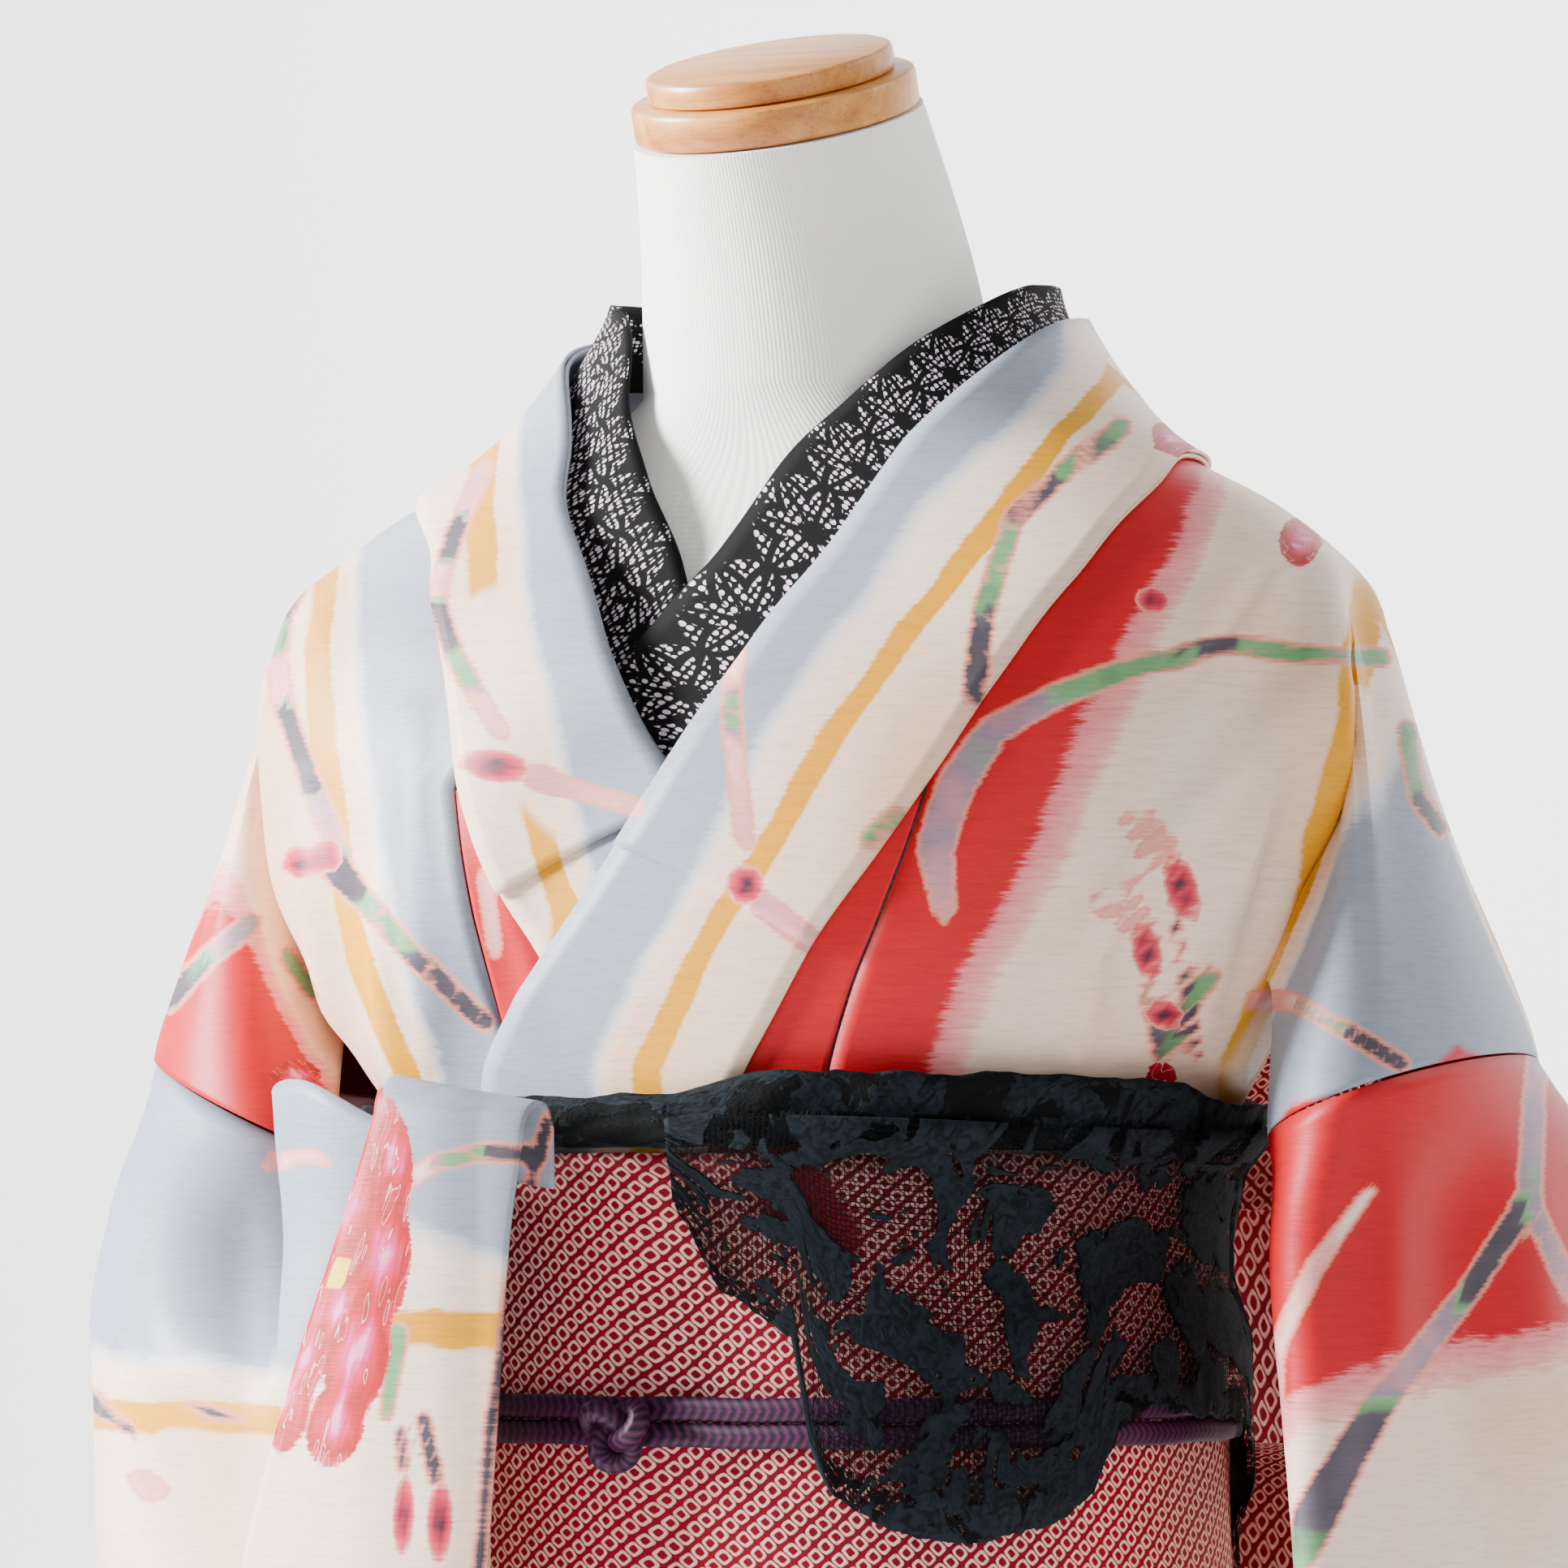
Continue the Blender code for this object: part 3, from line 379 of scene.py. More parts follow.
wood, tree, shader = new_finish("varnished_rubberwood", 0.4, Coat_Weight=0.15, Coat_Roughness=0.3)
place = add(tree, "TexCoord").outputs["Object"]
grain_turn = (0.3, 0.1, 0.45)
grain = add(tree, "Mapping", {"Vector": place, "Rotation": grain_turn, "Scale": (9.0, 75.0, 60.0)})
grain = add(tree, "TexNoise", {"Vector": grain, "Scale": 1.6, "Detail": 5.0, "Distortion": 0.6})
pores = add(tree, "Mapping", {"Vector": place, "Rotation": grain_turn,
                              "Scale": (60.0, 900.0, 900.0)})
pores = add(tree, "TexNoise", {"Vector": pores, "Scale": 1.5, "Detail": 2.0})
shade = add(tree, "ValToRGB", {0: grain}, stops=(
    (0.28, "#AE6426"), (0.5, "#CB8538"), (0.72, "#DC9C50")))
flecks = add(tree, "ValToRGB", {0: pores}, stops=((0.36, "#8A5A2C"), (0.46, "#FFFFFF")))
shade = add(tree, "MixRGB", {0: 0.3, 1: shade, 2: flecks}, blend_type="MULTIPLY")
wire(tree, shader, shade, grain, 0.08, 0.0004)


def cap_tier(name, node, rows):
    lean, last = math.radians(CAP_TILT), len(rows["step"]) - 1

    def place(c, r):
        rise, half_width, half_depth = [level(rows, k, r * last) for k in list(rows)[1:]]
        return tilted_oval(360 * c, NECK["y"][-1] - rise * math.sin(lean),
                           NECK["z"][-1] + rise * math.cos(lean), half_width, half_depth, CAP_TILT)

    in_slot(rolled_solid(name, 96, last * 2, place, [wood], 30), node)


cap_tier("cap_lower_tier", "cap_lower", CAP_LOWER)
cap_tier("cap_upper_tier", "cap_upper", CAP_UPPER)


# Stand.  A round wooden foot and a satin steel pole, both turned, in the plain shape of
# such stands; the foot is the same wood as the cap.

steel, tree, shader = new_finish("brushed_steel", 0.32, Metallic=1.0)
place = add(tree, "TexCoord").outputs["Object"]
lines = add(tree, "Mapping", {"Vector": place, "Scale": (900.0, 900.0, 6.0)})
lines = add(tree, "TexNoise", {"Vector": lines, "Scale": 1.0, "Detail": 2.0})
shade = add(tree, "ValToRGB", {0: lines}, stops=((0.3, "#A9ABAD"), (0.7, "#C6C8CA")))
wire(tree, shader, shade, lines, 0.05, 0.0002)


def turned(name, node, slot, finish, *profile):
    """A piece spun about the pole's axis from (radius, height) pairs listed upwards."""
    form = bmesh.new()
    points = [form.verts.new((r * MM, 0, z * MM)) for r, z in profile]
    edges = [form.edges.new(pair) for pair in zip(points, points[1:])]
    bmesh.ops.spin(form, geom=points + edges, axis=(0, 0, 1), cent=(0, 0, 0),
                   angle=2 * math.pi, steps=96, use_merge=True)
    bmesh.ops.remove_doubles(form, verts=form.verts, dist=1e-6)
    bmesh.ops.recalc_face_normals(form, faces=form.faces)
    in_slot(link(name, form, [finish], 35), node)


turned("round_foot", "foot", "pale_wood", wood, (0, 0), (166, 0), (169, 1.2), (170, 4), (170, 19),
       (168.6, 22.6), (165, 25), (0, 25))
turned("stand_pole", "pole", "steel_pole", steel, (0, 25.4), (26, 25.4), (26, 31), (25, 33),
       (14.4, 36), (14, 38), (14, 799.4), (0, 799.4))


# Kimono body.  Two lengths of lined silk, each from the hem in front, over a shoulder, to
# the hem behind, sewn down the centre back and hanging past the shoulder to the sleeve
# seam; at the waist the spare length is folded in three under the sash.

CLOTH, FACING, SEAM_ANGLE, UNDERLAP = 1.2, 2.0, 0.36, 2.2
LEFT, RIGHT = 1, -1
OVERLAP = table("height angle", (60, -142), (840, -137), (900, -134), (1000, -128),
                (1062, -121), (1101, -113.6), (1130, -104.6), (1156, -97), (1180, -92),
                (1205, -88.7), (1260, -80))
UNDER_DEPTH, FOLDED_DEPTH = 7.4, 10.2    # how far the right front sinks beneath the left one
LEFT_COLLAR = table(
    "station inner_angle inner_height outer_angle outer_height",
    (0, 90, 1356, 90, 1299),
    (1, 60, 1361, 58, 1303),
    (2, 30, 1364, 28, 1310),
    (3, 3, 1360, 3, 1311),
    (4, -25, 1349, -20, 1303),
    (5, -50, 1330, -40, 1286),
    (6, -70, 1302, -51.5, 1262),
    (7, -79.5, 1266, -58, 1231),
    (8, -84.5, 1234, -62.5, 1202),
    (9, -88.7, 1205, -67, 1175),
    (10, -92.1, 1180, -72, 1149),
    (11, -97.1, 1155.6, -76, 1124),
    (12, -104.6, 1129.8, -80, 1101),
    (13, -113.6, 1100.8, -84, 1078),
    (14, -121, 1062, -89, 1046),
)
RIGHT_COLLAR = table(
    "station inner_angle inner_height outer_angle outer_height",
    (0, 90, 1356, 90, 1299),
    (1, 60, 1361, 58, 1303),
    (2, 30, 1364, 28, 1310),
    (3, 3, 1361, 3, 1312),
    (4, -25, 1352, -20, 1307),
    (5, -48, 1336, -41, 1297),
    (6, -66, 1308, -56, 1281),
    (7, -79, 1274, -64.5, 1254),
    (8, -85.5, 1240, -69, 1224),
    (9, -91, 1205, -71, 1196),
    (10, -96, 1179, -74, 1166),
    (11, -102, 1154, -78, 1140),
    (12, -109, 1128, -82, 1112),
    (13, -116, 1100, -86, 1085),
    (14, -123, 1062, -91, 1048),
)
COLLARS = {LEFT: LEFT_COLLAR, RIGHT: RIGHT_COLLAR}
TIP_HEIGHT = {LEFT: 1201, RIGHT: 1205}
OVERLAP_SEAM = {
    LEFT: table("height angle", (840, -72), (1000, -70), (1102, -68.9), (1131, -67.5),
                (1154, -65.6), (1178, -64), (1201, -63)),
    RIGHT: table("height angle", (840, -74), (1000, -71), (1121, -69.3), (1154, -69.8),
                 (1181, -69.7), (1205, -69.1)),
}
HEM, WAIST_FOLD, TUCK_FOLD = 62, 925, 844
SKIRT_OFFSET, MIDDLE_OFFSET = -5.4, -1.8
ARM_FRONT, ARM_BACK, ARM_BOTTOM, ARM_TOP, CENTRE_GAP = -9.0, 40.0, 1138, 1254, 0.12
SLIT_COLUMNS = {LEFT: (2, 2), RIGHT: (1, 3)}
INWARD_PULL, OUTWARD_PULL = 22, {LEFT: 17, RIGHT: 30}
ARMHOLE = {LEFT: (206, 24, 38, 94, -7, -168, 128), RIGHT: (218, 1.5, 44, 80, 30, -115, 172)}
ARMHOLE_HEIGHT, ARMHOLE_TILT = {LEFT: 1096, RIGHT: 1092}, {LEFT: 15, RIGHT: 21}
HIGHEST_TURN = {LEFT: 0, RIGHT: 20}
SLEEVE_GAP = 0.8

PICTURE_UNITS = 1.786                    # to a millimetre of the cloth in front
FOLD_UNITS = 1.79                        # to a millimetre where the folds are

# soft folds of the worn fronts: two ends in picture units, width and rise in millimetres
WORN_FOLDS = table(
    "x0 y0 x1 y1 width rise",
    (815, 395, 705, 640, 8, 7.0),
    (818, 430, 752, 650, 6, 8.0),
    (814, 340, 806, 560, 7, 9.0),
    (848, 350, 840, 520, 7, -8.0),
    (800, 420, 650, 600, 6, 4.0),
    (805, 330, 735, 430, 8, 3.6),
    (775, 470, 735, 650, 4, 4.5),
    (690, 520, 660, 655, 4, 3.6),
    (205, 300, 190, 470, 9, 4.2),
    (168, 420, 190, 640, 5, 6.0),
    (185, 480, 214, 655, 4, 6.0),
    (232, 540, 246, 660, 4, 5.0),
    (255, 440, 262, 655, 4, 3.6),
    (300, 520, 330, 640, 4, 1.6),
)


def to_lines(px, py, x0, y0, x1, y1):
    """Distance in picture units to a straight length, and the share of the way along it."""
    dx, dy = x1 - x0, y1 - y0
    share = np.clip(((px - x0) * dx + (py - y0) * dy) / (dx * dx + dy * dy), 0, 1)
    return np.hypot(px - x0 - share * dx, py - y0 - share * dy), share


def folds_at(rows, points):
    """Rise of the cloth in millimetres where the folds of a table pass over points."""
    px, py = picture(points)
    total = np.zeros(len(points))
    for x0, y0, x1, y1, width, rise in zip(*rows.values()):
        away, share = to_lines(px, py, x0, y0, x1, y1)
        along = np.sin(np.pi * (0.12 + 0.76 * share))
        total += rise * np.exp(-(away / FOLD_UNITS / width) ** 2) * along
    return total


@lru_cache(maxsize=None)
def worn_rise(angle, height):
    """How far the folds lift the worn cloth, the same for every layer of it."""
    here = body_surface(angle, height)
    if here.y > 30 or not 1079 < height < 1290:
        return 0.0
    rise = folds_at(WORN_FOLDS, np.array([here]) * MM)[0]
    fade = ease((height - 1079) / 22) * ease((1290 - height) / 30) * ease((30 - here.y) / 40)
    return float(rise) * fade


def under_left(angle, height):
    """How far a right-hand piece sinks as it runs under the left front."""
    past = angle - level(OVERLAP, "angle", height)
    depth = mix(FOLDED_DEPTH, UNDER_DEPTH, ease((height - 930) / 55))
    return -depth * ease((past + 20) / 17) * ease((1240 - height) / 34)


def worn_point(side, angle, height, offset):
    """A point on one side of the worn kimono; angles are given as for the left side."""
    if side == RIGHT:
        angle = 180 - angle if angle > -90 else -180 - angle
        offset = offset + under_left(angle if angle < 90 else angle - 360, height)
    lifted = offset + worn_rise(round(angle, 2), round(height, 1))
    return off_surface(body_surface, angle, height, lifted)


@lru_cache(maxsize=None)
def collar_edge_angle(side, height):
    rows = COLLARS[side]
    return curve(rows["outer_height"][:3:-1], rows["outer_angle"][:3:-1], height)


@lru_cache(maxsize=None)
def front_edge(side, height):
    """The front panel's inner edge: under the collar above, at the overlap seam below."""
    seam = at(OVERLAP_SEAM[side], "angle", height)
    collar = collar_edge_angle(side, height) - UNDERLAP
    return mix(seam, collar, ease((height - TIP_HEIGHT[side] + 6) / 16))


@lru_cache(maxsize=None)
def neck_edge(side, angle):
    """Height of the panel's edge under the collar, over the shoulder and the back."""
    rows = COLLARS[side]
    return curve(rows["outer_angle"][6::-1], rows["outer_height"][6::-1], angle) + 4


def fold(height, start, end, way):
    """Rows round a half turn of cloth between two offsets, over the top or the bottom."""
    middle, radius = (start + end) / 2, (end - start) / 2
    turns = [math.radians(180 - 30 * k) for k in range(7)]
    return [(height + way * radius * math.sin(t), middle + radius * math.cos(t)) for t in turns]


def heights(*stops):
    """Heights from the first stop to the last, at most `step` apart between them."""
    low, out = stops[0], [stops[0]]
    for step, high in stops[1:]:
        count = max(math.ceil((high - low) / step), 1)
        out += [mix(low, high, k / count) for k in range(1, count + 1)]
        low = high
    return out


def along_panel():
    """(height, offset) of each row of a panel from the hem to below the chest."""
    rows = [(z, SKIRT_OFFSET) for z in heights(HEM, (22, 770), (9, 897))]
    rows += fold(WAIST_FOLD, SKIRT_OFFSET, MIDDLE_OFFSET, 1)
    rows += [(897, MIDDLE_OFFSET), (870, MIDDLE_OFFSET)]
    rows += fold(TUCK_FOLD, MIDDLE_OFFSET, 0, -1)
    return rows + [(z, 0) for z in heights(860, (13, 925), (20, 1055), (4.5, ARM_BOTTOM))]


def oval_point(side, x, y, half_width, half_length, swing, turn, height):
    """A point on an oval in plan; turn 0 is its outside and -90 its front end."""
    c, s = math.cos(math.radians(turn)), math.sin(math.radians(turn))
    spin = math.radians(swing)
    out, back = half_width * c, half_length * s
    return Vector((side * (x + out * math.cos(spin) + back * math.sin(spin)),
                   y - out * math.sin(spin) + back * math.cos(spin), height))


def armhole_point(side, share, drop=0.0):
    """A point on the sleeve seam, by its share of the way from the front end to the back."""
    values = ARMHOLE[side]
    turn = mix(values[5], values[6], share)
    lift = ARMHOLE_TILT[side] * math.cos(math.radians(turn - HIGHEST_TURN[side]))
    return oval_point(side, *values[:5], turn, ARMHOLE_HEIGHT[side] + lift - drop), turn


def hermite(start, start_pull, end, end_pull, t):
    a, b = 2 * t ** 3 - 3 * t * t + 1, t ** 3 - 2 * t * t + t
    c, d = 3 * t * t - 2 * t ** 3, t ** 3 - t * t
    return start * a + start_pull * b + end * c + end_pull * d


class Stripes:
    """Where the stripe edges cross the picture, so that cloth can be given its place across
    the bolt.  `bolt` lists those edges in metres across the bolt.  Each row gives a place on
    one axis of the picture, then where the edges cross the other axis there.  Stripes that
    run down the picture are read along x, and places behind the body as those in front of
    it; lying ones are read along y."""

    def __init__(self, bolt, *rows, limits, lying=False):
        self.bolt, self.rows = bolt, np.array(rows, float)
        self.limits, self.lying = limits, lying

    def across(self, points):
        back = points[:, 1] if self.lying else -abs(points[:, 1] - 0.02) + 0.02
        px, py = picture(np.column_stack((points[:, 0], back, points[:, 2])))
        along, read = (px, py) if self.lying else (py, px)
        edges = [np.interp(along, self.rows[:, 0], column) for column in self.rows[:, 1:].T]
        way = 1 if self.bolt[1] > self.bolt[0] else -1
        to_bolt = way / PICTURE_UNITS * MM
        result = self.bolt[0] - (edges[0] - read) * to_bolt
        for k, (low, high) in enumerate(zip(edges, edges[1:])):
            share = (read - low) / (high - low)
            inside = self.bolt[k] + (self.bolt[k + 1] - self.bolt[k]) * share
            result = np.where(read > low, inside, result)
        result = np.where(read > edges[-1], self.bolt[-1] + (read - edges[-1]) * to_bolt, result)
        return np.clip(result, *self.limits)


def painted(made, vines, blooms=None):
    """Stores how far each place of the cloth is from the vines and flowers on it.

    Vines are rows of two ends in picture units, half widths in millimetres at both and a
    tone; blooms are rows of a middle, half sizes in picture units, a lean and a tone.
    """
    points = np.empty(len(made.data.vertices) * 3)
    made.data.vertices.foreach_get("co", points)
    px, py = picture(points.reshape(-1, 3))
    nearest, tone = np.full(len(px), 60.0), np.zeros(len(px))
    for x0, y0, x1, y1, w0, w1, hue in zip(*vines.values()):
        away, share = to_lines(px, py, x0, y0, x1, y1)
        past = away / PICTURE_UNITS - (w0 + (w1 - w0) * share)
        tone = np.where(past < nearest, hue, tone)
        nearest = np.minimum(past, nearest)
    radius, kind = np.full(len(px), 9.0), np.zeros(len(px))
    for x, y, half_x, half_y, lean, hue in zip(*(blooms or {}).values()):
        c, s = math.cos(math.radians(lean)), math.sin(math.radians(lean))
        u, v = ((px - x) * c + (py - y) * s) / half_x, ((py - y) * c - (px - x) * s) / half_y
        r = np.hypot(u, v)
        kind = np.where(r < radius, hue, kind)
        radius = np.minimum(r, radius)
    for name, values in (("vine", nearest), ("tone", tone), ("bloom", radius), ("kind", kind)):
        made.data.attributes.new(name, "FLOAT", "POINT").data.foreach_set("value", values)


def cloth(name, patches, finishes, thickness=CLOTH, size=(0.36, 1.4), closed=False, folds=None,
          flat_above=1e9):
    """A cloth wall from grids on its inner face, joined where they meet, thickened outwards.

    A patch is (columns, rows, place, hole, stripes): place(i, j) gives a point, and may add
    the point whose stripe it continues and how many metres further across the bolt it lies;
    hole(i, j) tells whether the square there is left out.  Rows run upwards and columns from
    left to right as seen from outside.
    """
    form = bmesh.new()
    uvs = form.loops.layers.uv.new("bolt")
    store = form.verts.layers.float.new("across")
    for columns, rows, place, hole, stripes in patches:
        old, old_faces = set(form.verts), set(form.faces)
        bmesh.ops.create_grid(form, x_segments=columns, y_segments=rows, size=1)
        new_faces = [f for f in form.faces if f not in old_faces]
        lay_bolt(new_faces, uvs, size)
        unwanted = []
        for face in new_faces if hole else []:
            middle = face.calc_center_median()
            if hole((middle.x + 1) / 2 * columns, (middle.y + 1) / 2 * rows):
                unwanted.append(face)
        new, sources = [v for v in form.verts if v not in old], []
        for v in new:
            result = place(round((v.co.x + 1) / 2 * columns), round((v.co.y + 1) / 2 * rows))
            point, source, more = result if isinstance(result, tuple) else (result, result, 0.0)
            v.co = point * MM
            sources.append((*source, more))
        sources = np.array(sources)
        across = np.full(len(new), stripes or 0.0) if not isinstance(stripes, Stripes) \
            else stripes.across(sources[:, :3] * MM)
        for v, value, more in zip(new, across, sources[:, 3]):
            v[store] = value + more
        bmesh.ops.delete(form, geom=unwanted, context="FACES")
    if closed or folds or len(patches) > 1:
        bmesh.ops.remove_doubles(form, verts=form.verts, dist=1e-5)
    if folds:
        form.normal_update()
        for v, lift in zip(form.verts, folds_at(folds, np.array([v.co for v in form.verts]))):
            v.co = v.co + v.normal * lift * ease((flat_above - v.co.z) / 0.03) * MM
    made = link(name, form, finishes)
    wall = made.modifiers.new("cloth thickness", "SOLIDIFY")
    wall.thickness, wall.offset = thickness * MM, 1
    wall.material_offset = len(finishes) - 1
    wall.material_offset_rim = int(finishes[0] is lining)
    return made


# Silk of the kimono: plain-weave meisen, whose weft was dyed before weaving, so every
# colour edge is feathered along the weft; fairly crisp, with a soft low shine.
def patterned_silk(name):
    finish, tree, shader = new_finish(name, 0.46, Specular_IOR_Level=0.28)
    uv = add(tree, "UVMap", uv_map="bolt")
    place = add(tree, "TexCoord").outputs["Object"]
    across = add(tree, "Attribute", attribute_name="across").outputs["Fac"]
    picks = add(tree, "Mapping", {"Vector": place, "Scale": (90.0, 90.0, 900.0)})
    picks = add(tree, "TexNoise", {"Vector": picks, "Scale": 1.0, "Detail": 3.0, "Roughness": 0.7})
    drift = add(tree, "TexNoise", {"Vector": place, "Scale": 26.0, "Detail": 3.0})
    feather = add(tree, "Math", {0: picks, 1: 0.5}, operation="SUBTRACT")
    wander = add(tree, "Math", {0: drift, 1: 0.5}, operation="SUBTRACT")

    def frayed(value, by_picks, by_drift):
        """A distance whose edges run ragged along the weft."""
        value = add(tree, "Math", {0: feather, 1: by_picks, 2: value}, operation="MULTIPLY_ADD")
        return add(tree, "Math", {0: wander, 1: by_drift, 2: value}, operation="MULTIPLY_ADD")

    bolt = frayed(across, 0.013, 0.012)
    turn = add(tree, "Math", {0: bolt, 1: 0.35}, operation="DIVIDE")
    turn = add(tree, "Math", {0: turn}, operation="FRACT")
    crisp = add(tree, "Math", {0: frayed(across, 0.005, 0.012), 1: 0.35}, operation="DIVIDE")
    crisp = add(tree, "Math", {0: crisp}, operation="FRACT")
    plain = add(tree, "ValToRGB", {0: turn}, stops=(
        (0.0, "#C00418"), (0.280, "#C6061A"), (0.289, "#E8848A"), (0.318, "#F0A8A0"),
        (0.330, "#F8DCC8"), (0.70, "#FBE9DA"), (0.722, "#CDD0D8"), (0.735, "#97A1B2"),
        (0.97, "#8C96A8"), (0.99, "#C00418")))
    gold = add(tree, "ValToRGB", {0: crisp}, stops=(
        (0.612, "#000000"), (0.617, "#FFFFFF"), (0.656, "#FFFFFF"), (0.661, "#000000")))
    dashes = add(tree, "TexNoise", {"Vector": place, "Scale": 7.0, "Detail": 0.0})
    dashes = add(tree, "ValToRGB", {0: dashes}, stops=((0.34, "#000000"), (0.35, "#FFFFFF")))
    gold = add(tree, "MixRGB", {0: 1.0, 1: gold, 2: dashes}, blend_type="MULTIPLY")
    blush = add(tree, "Mapping", {"Vector": place, "Scale": (9.0, 9.0, 3.5)})
    blush = add(tree, "TexNoise", {"Vector": blush, "Scale": 1.0, "Detail": 2.0})
    blush = add(tree, "MapRange", {0: blush, 1: 0.4, 2: 0.6, 3: 0.05, 4: 0.7})
    pale_part = add(tree, "ValToRGB", {0: turn}, stops=(
        (0.30, "#000000"), (0.36, "#FFFFFF"), (0.69, "#FFFFFF"), (0.72, "#000000")))
    blush = add(tree, "Math", {0: blush, 1: pale_part}, operation="MULTIPLY")
    plain = add(tree, "MixRGB", {0: blush, 1: plain, 2: colour("#E9B48C")})
    base = add(tree, "MixRGB", {0: gold, 1: plain, 2: colour("#E09C00")})

    def masked(under, over, value, edge, soft):
        """Lays one colour over another where a distance is under an edge."""
        mask = add(tree, "MapRange", {0: value, 1: edge - soft, 2: edge + soft, 3: 1.0, 4: 0.0})
        return add(tree, "MixRGB", {0: mask, 1: under, 2: over})

    vine = frayed(add(tree, "Attribute", attribute_name="vine").outputs["Fac"], 3.0, 3.0)
    tone = add(tree, "Attribute", attribute_name="tone").outputs["Fac"]
    tone = add(tree, "Math", {0: wander, 1: 0.75, 2: tone}, operation="MULTIPLY_ADD")
    hues = add(tree, "ValToRGB", {0: tone}, stops=(
        (0.0, "#45404A"), (0.2, "#5A5360"), (0.3, "#69A06A"), (0.45, "#86A886"), (0.56, "#98849A"),
        (0.74, "#C98E98"), (0.9, "#EFA6A0"), (1.0, "#F4D9D2")))
    base = masked(base, colour("#EB9484"), vine, 1.7, 0.7)
    base = masked(base, hues, vine, 0.5, 0.7)
    bloom = frayed(add(tree, "Attribute", attribute_name="bloom").outputs["Fac"], 0.3, 0.5)
    kind = add(tree, "Attribute", attribute_name="kind").outputs["Fac"]
    strokes = add(tree, "Mapping", {"Vector": uv, "Scale": (110.0, 38.0, 1.0)})
    strokes = add(tree, "TexNoise", {"Vector": strokes, "Scale": 1.0, "Detail": 2.0})
    strokes = add(tree, "Math", {0: strokes, 1: 0.5}, operation="SUBTRACT")
    brushed = add(tree, "Math", {0: strokes, 1: 1.7, 2: bloom}, operation="MULTIPLY_ADD")
    dyes = add(tree, "ValToRGB", {0: brushed}, stops=(
        (0.08, "#F08CB8"), (0.26, "#DE3484"), (0.44, "#D01440"), (0.6, "#C00A1C"), (0.8, "#A80818"),
        (0.97, "#C81C34")))
    gaps = add(tree, "Math", {0: strokes, 1: 0.085}, operation="SUBTRACT")
    gaps = add(tree, "Math", {0: gaps}, operation="ABSOLUTE")
    bud = add(tree, "ValToRGB", {0: bloom}, stops=(
        (0.2, "#3A2A34"), (0.4, "#8A2840"), (0.6, "#C42A4A"), (0.8, "#D8505C"), (0.95, "#EE9A90")))
    dyes = masked(dyes, colour("#F4DAD6"), gaps, 0.004, 0.004)
    petals = add(tree, "MixRGB", {0: kind, 1: bud, 2: dyes})
    petals = masked(petals, colour("#F2D02A"), add(tree, "Math", {0: 2.0, 1: kind},
                                                  operation="SUBTRACT"), 0.5, 0.1)
    base = masked(base, petals, bloom, 1.0, 0.04)

    mottle = add(tree, "TexNoise", {"Vector": place, "Scale": 7.0, "Detail": 4.0})
    shade = add(tree, "ValToRGB", {0: mottle}, stops=((0.3, "#EDE7E0"), (0.7, "#FFFFFF")))
    base = add(tree, "MixRGB", {0: 0.8, 1: base, 2: shade}, blend_type="MULTIPLY")
    slubs = add(tree, "ValToRGB", {0: picks}, stops=((0.3, "#DFDAD6"), (0.55, "#FFFFFF")))
    base = add(tree, "MixRGB", {0: 0.55, 1: base, 2: slubs}, blend_type="MULTIPLY")
    # the real threads lie 0.25 mm apart; these are 0.9 mm, as fine as the picture can show
    threads = add(tree, "Mapping", {"Vector": uv, "Scale": (1100.0, 1100.0, 1.0)})
    weave = add(tree, "TexChecker", {"Vector": threads, "Scale": 1.0})
    rough = add(tree, "Math", {0: picks, 1: 2.0, 2: weave.outputs["Fac"]}, operation="MULTIPLY_ADD")
    wire(tree, shader, base, rough, 0.14, 0.0005)
    return finish


silk = patterned_silk("meisen_silk")

# Lining: thin plain red silk, smooth, seen only inside the sleeves and at the hem.
lining, tree, shader = new_finish("red_silk_lining", 0.5, Sheen_Weight=0.1, Sheen_Roughness=0.4)
place = add(tree, "TexCoord").outputs["Object"]
cloudy = add(tree, "TexNoise", {"Vector": place, "Scale": 12.0, "Detail": 4.0})
shade = add(tree, "ValToRGB", {0: cloudy}, stops=((0.3, "#8E0A16"), (0.7, "#A81220")))
fine = add(tree, "TexNoise", {"Vector": place, "Scale": 1200.0, "Detail": 2.0})
wire(tree, shader, shade, fine, 0.1, 0.0004)

# places of the stripe edges on each front, by height in the picture
LEFT_STRIPES = Stripes(
    (0.100, 0.112, 0.217, 0.229, 0.2555),
    (230, 765, 782, 850, 864, 890),
    (290, 742, 757, 842, 856, 880),
    (350, 720, 738, 834, 850, 874),
    (440, 668, 692, 826, 842, 864),
    (540, 627, 648, 800, 812, 836),
    (600, 595, 615, 776, 790, 812),
    (655, 574, 594, 752, 766, 788), limits=(-1.0, 0.33))
RIGHT_STRIPES = Stripes(
    (0.112, 0.217, 0.229, 0.2555, 0.32),
    (230, 100, 205, 218, 228, 330),
    (335, 95, 197, 210, 221, 335),
    (400, 95, 191, 204, 223, 340),
    (480, 95, 196, 210, 233, 345),
    (555, 100, 207, 221, 244, 350),
    (600, 110, 219, 232, 252, 355),
    (660, 130, 248, 262, 276, 370), limits=(0.02, 0.33))
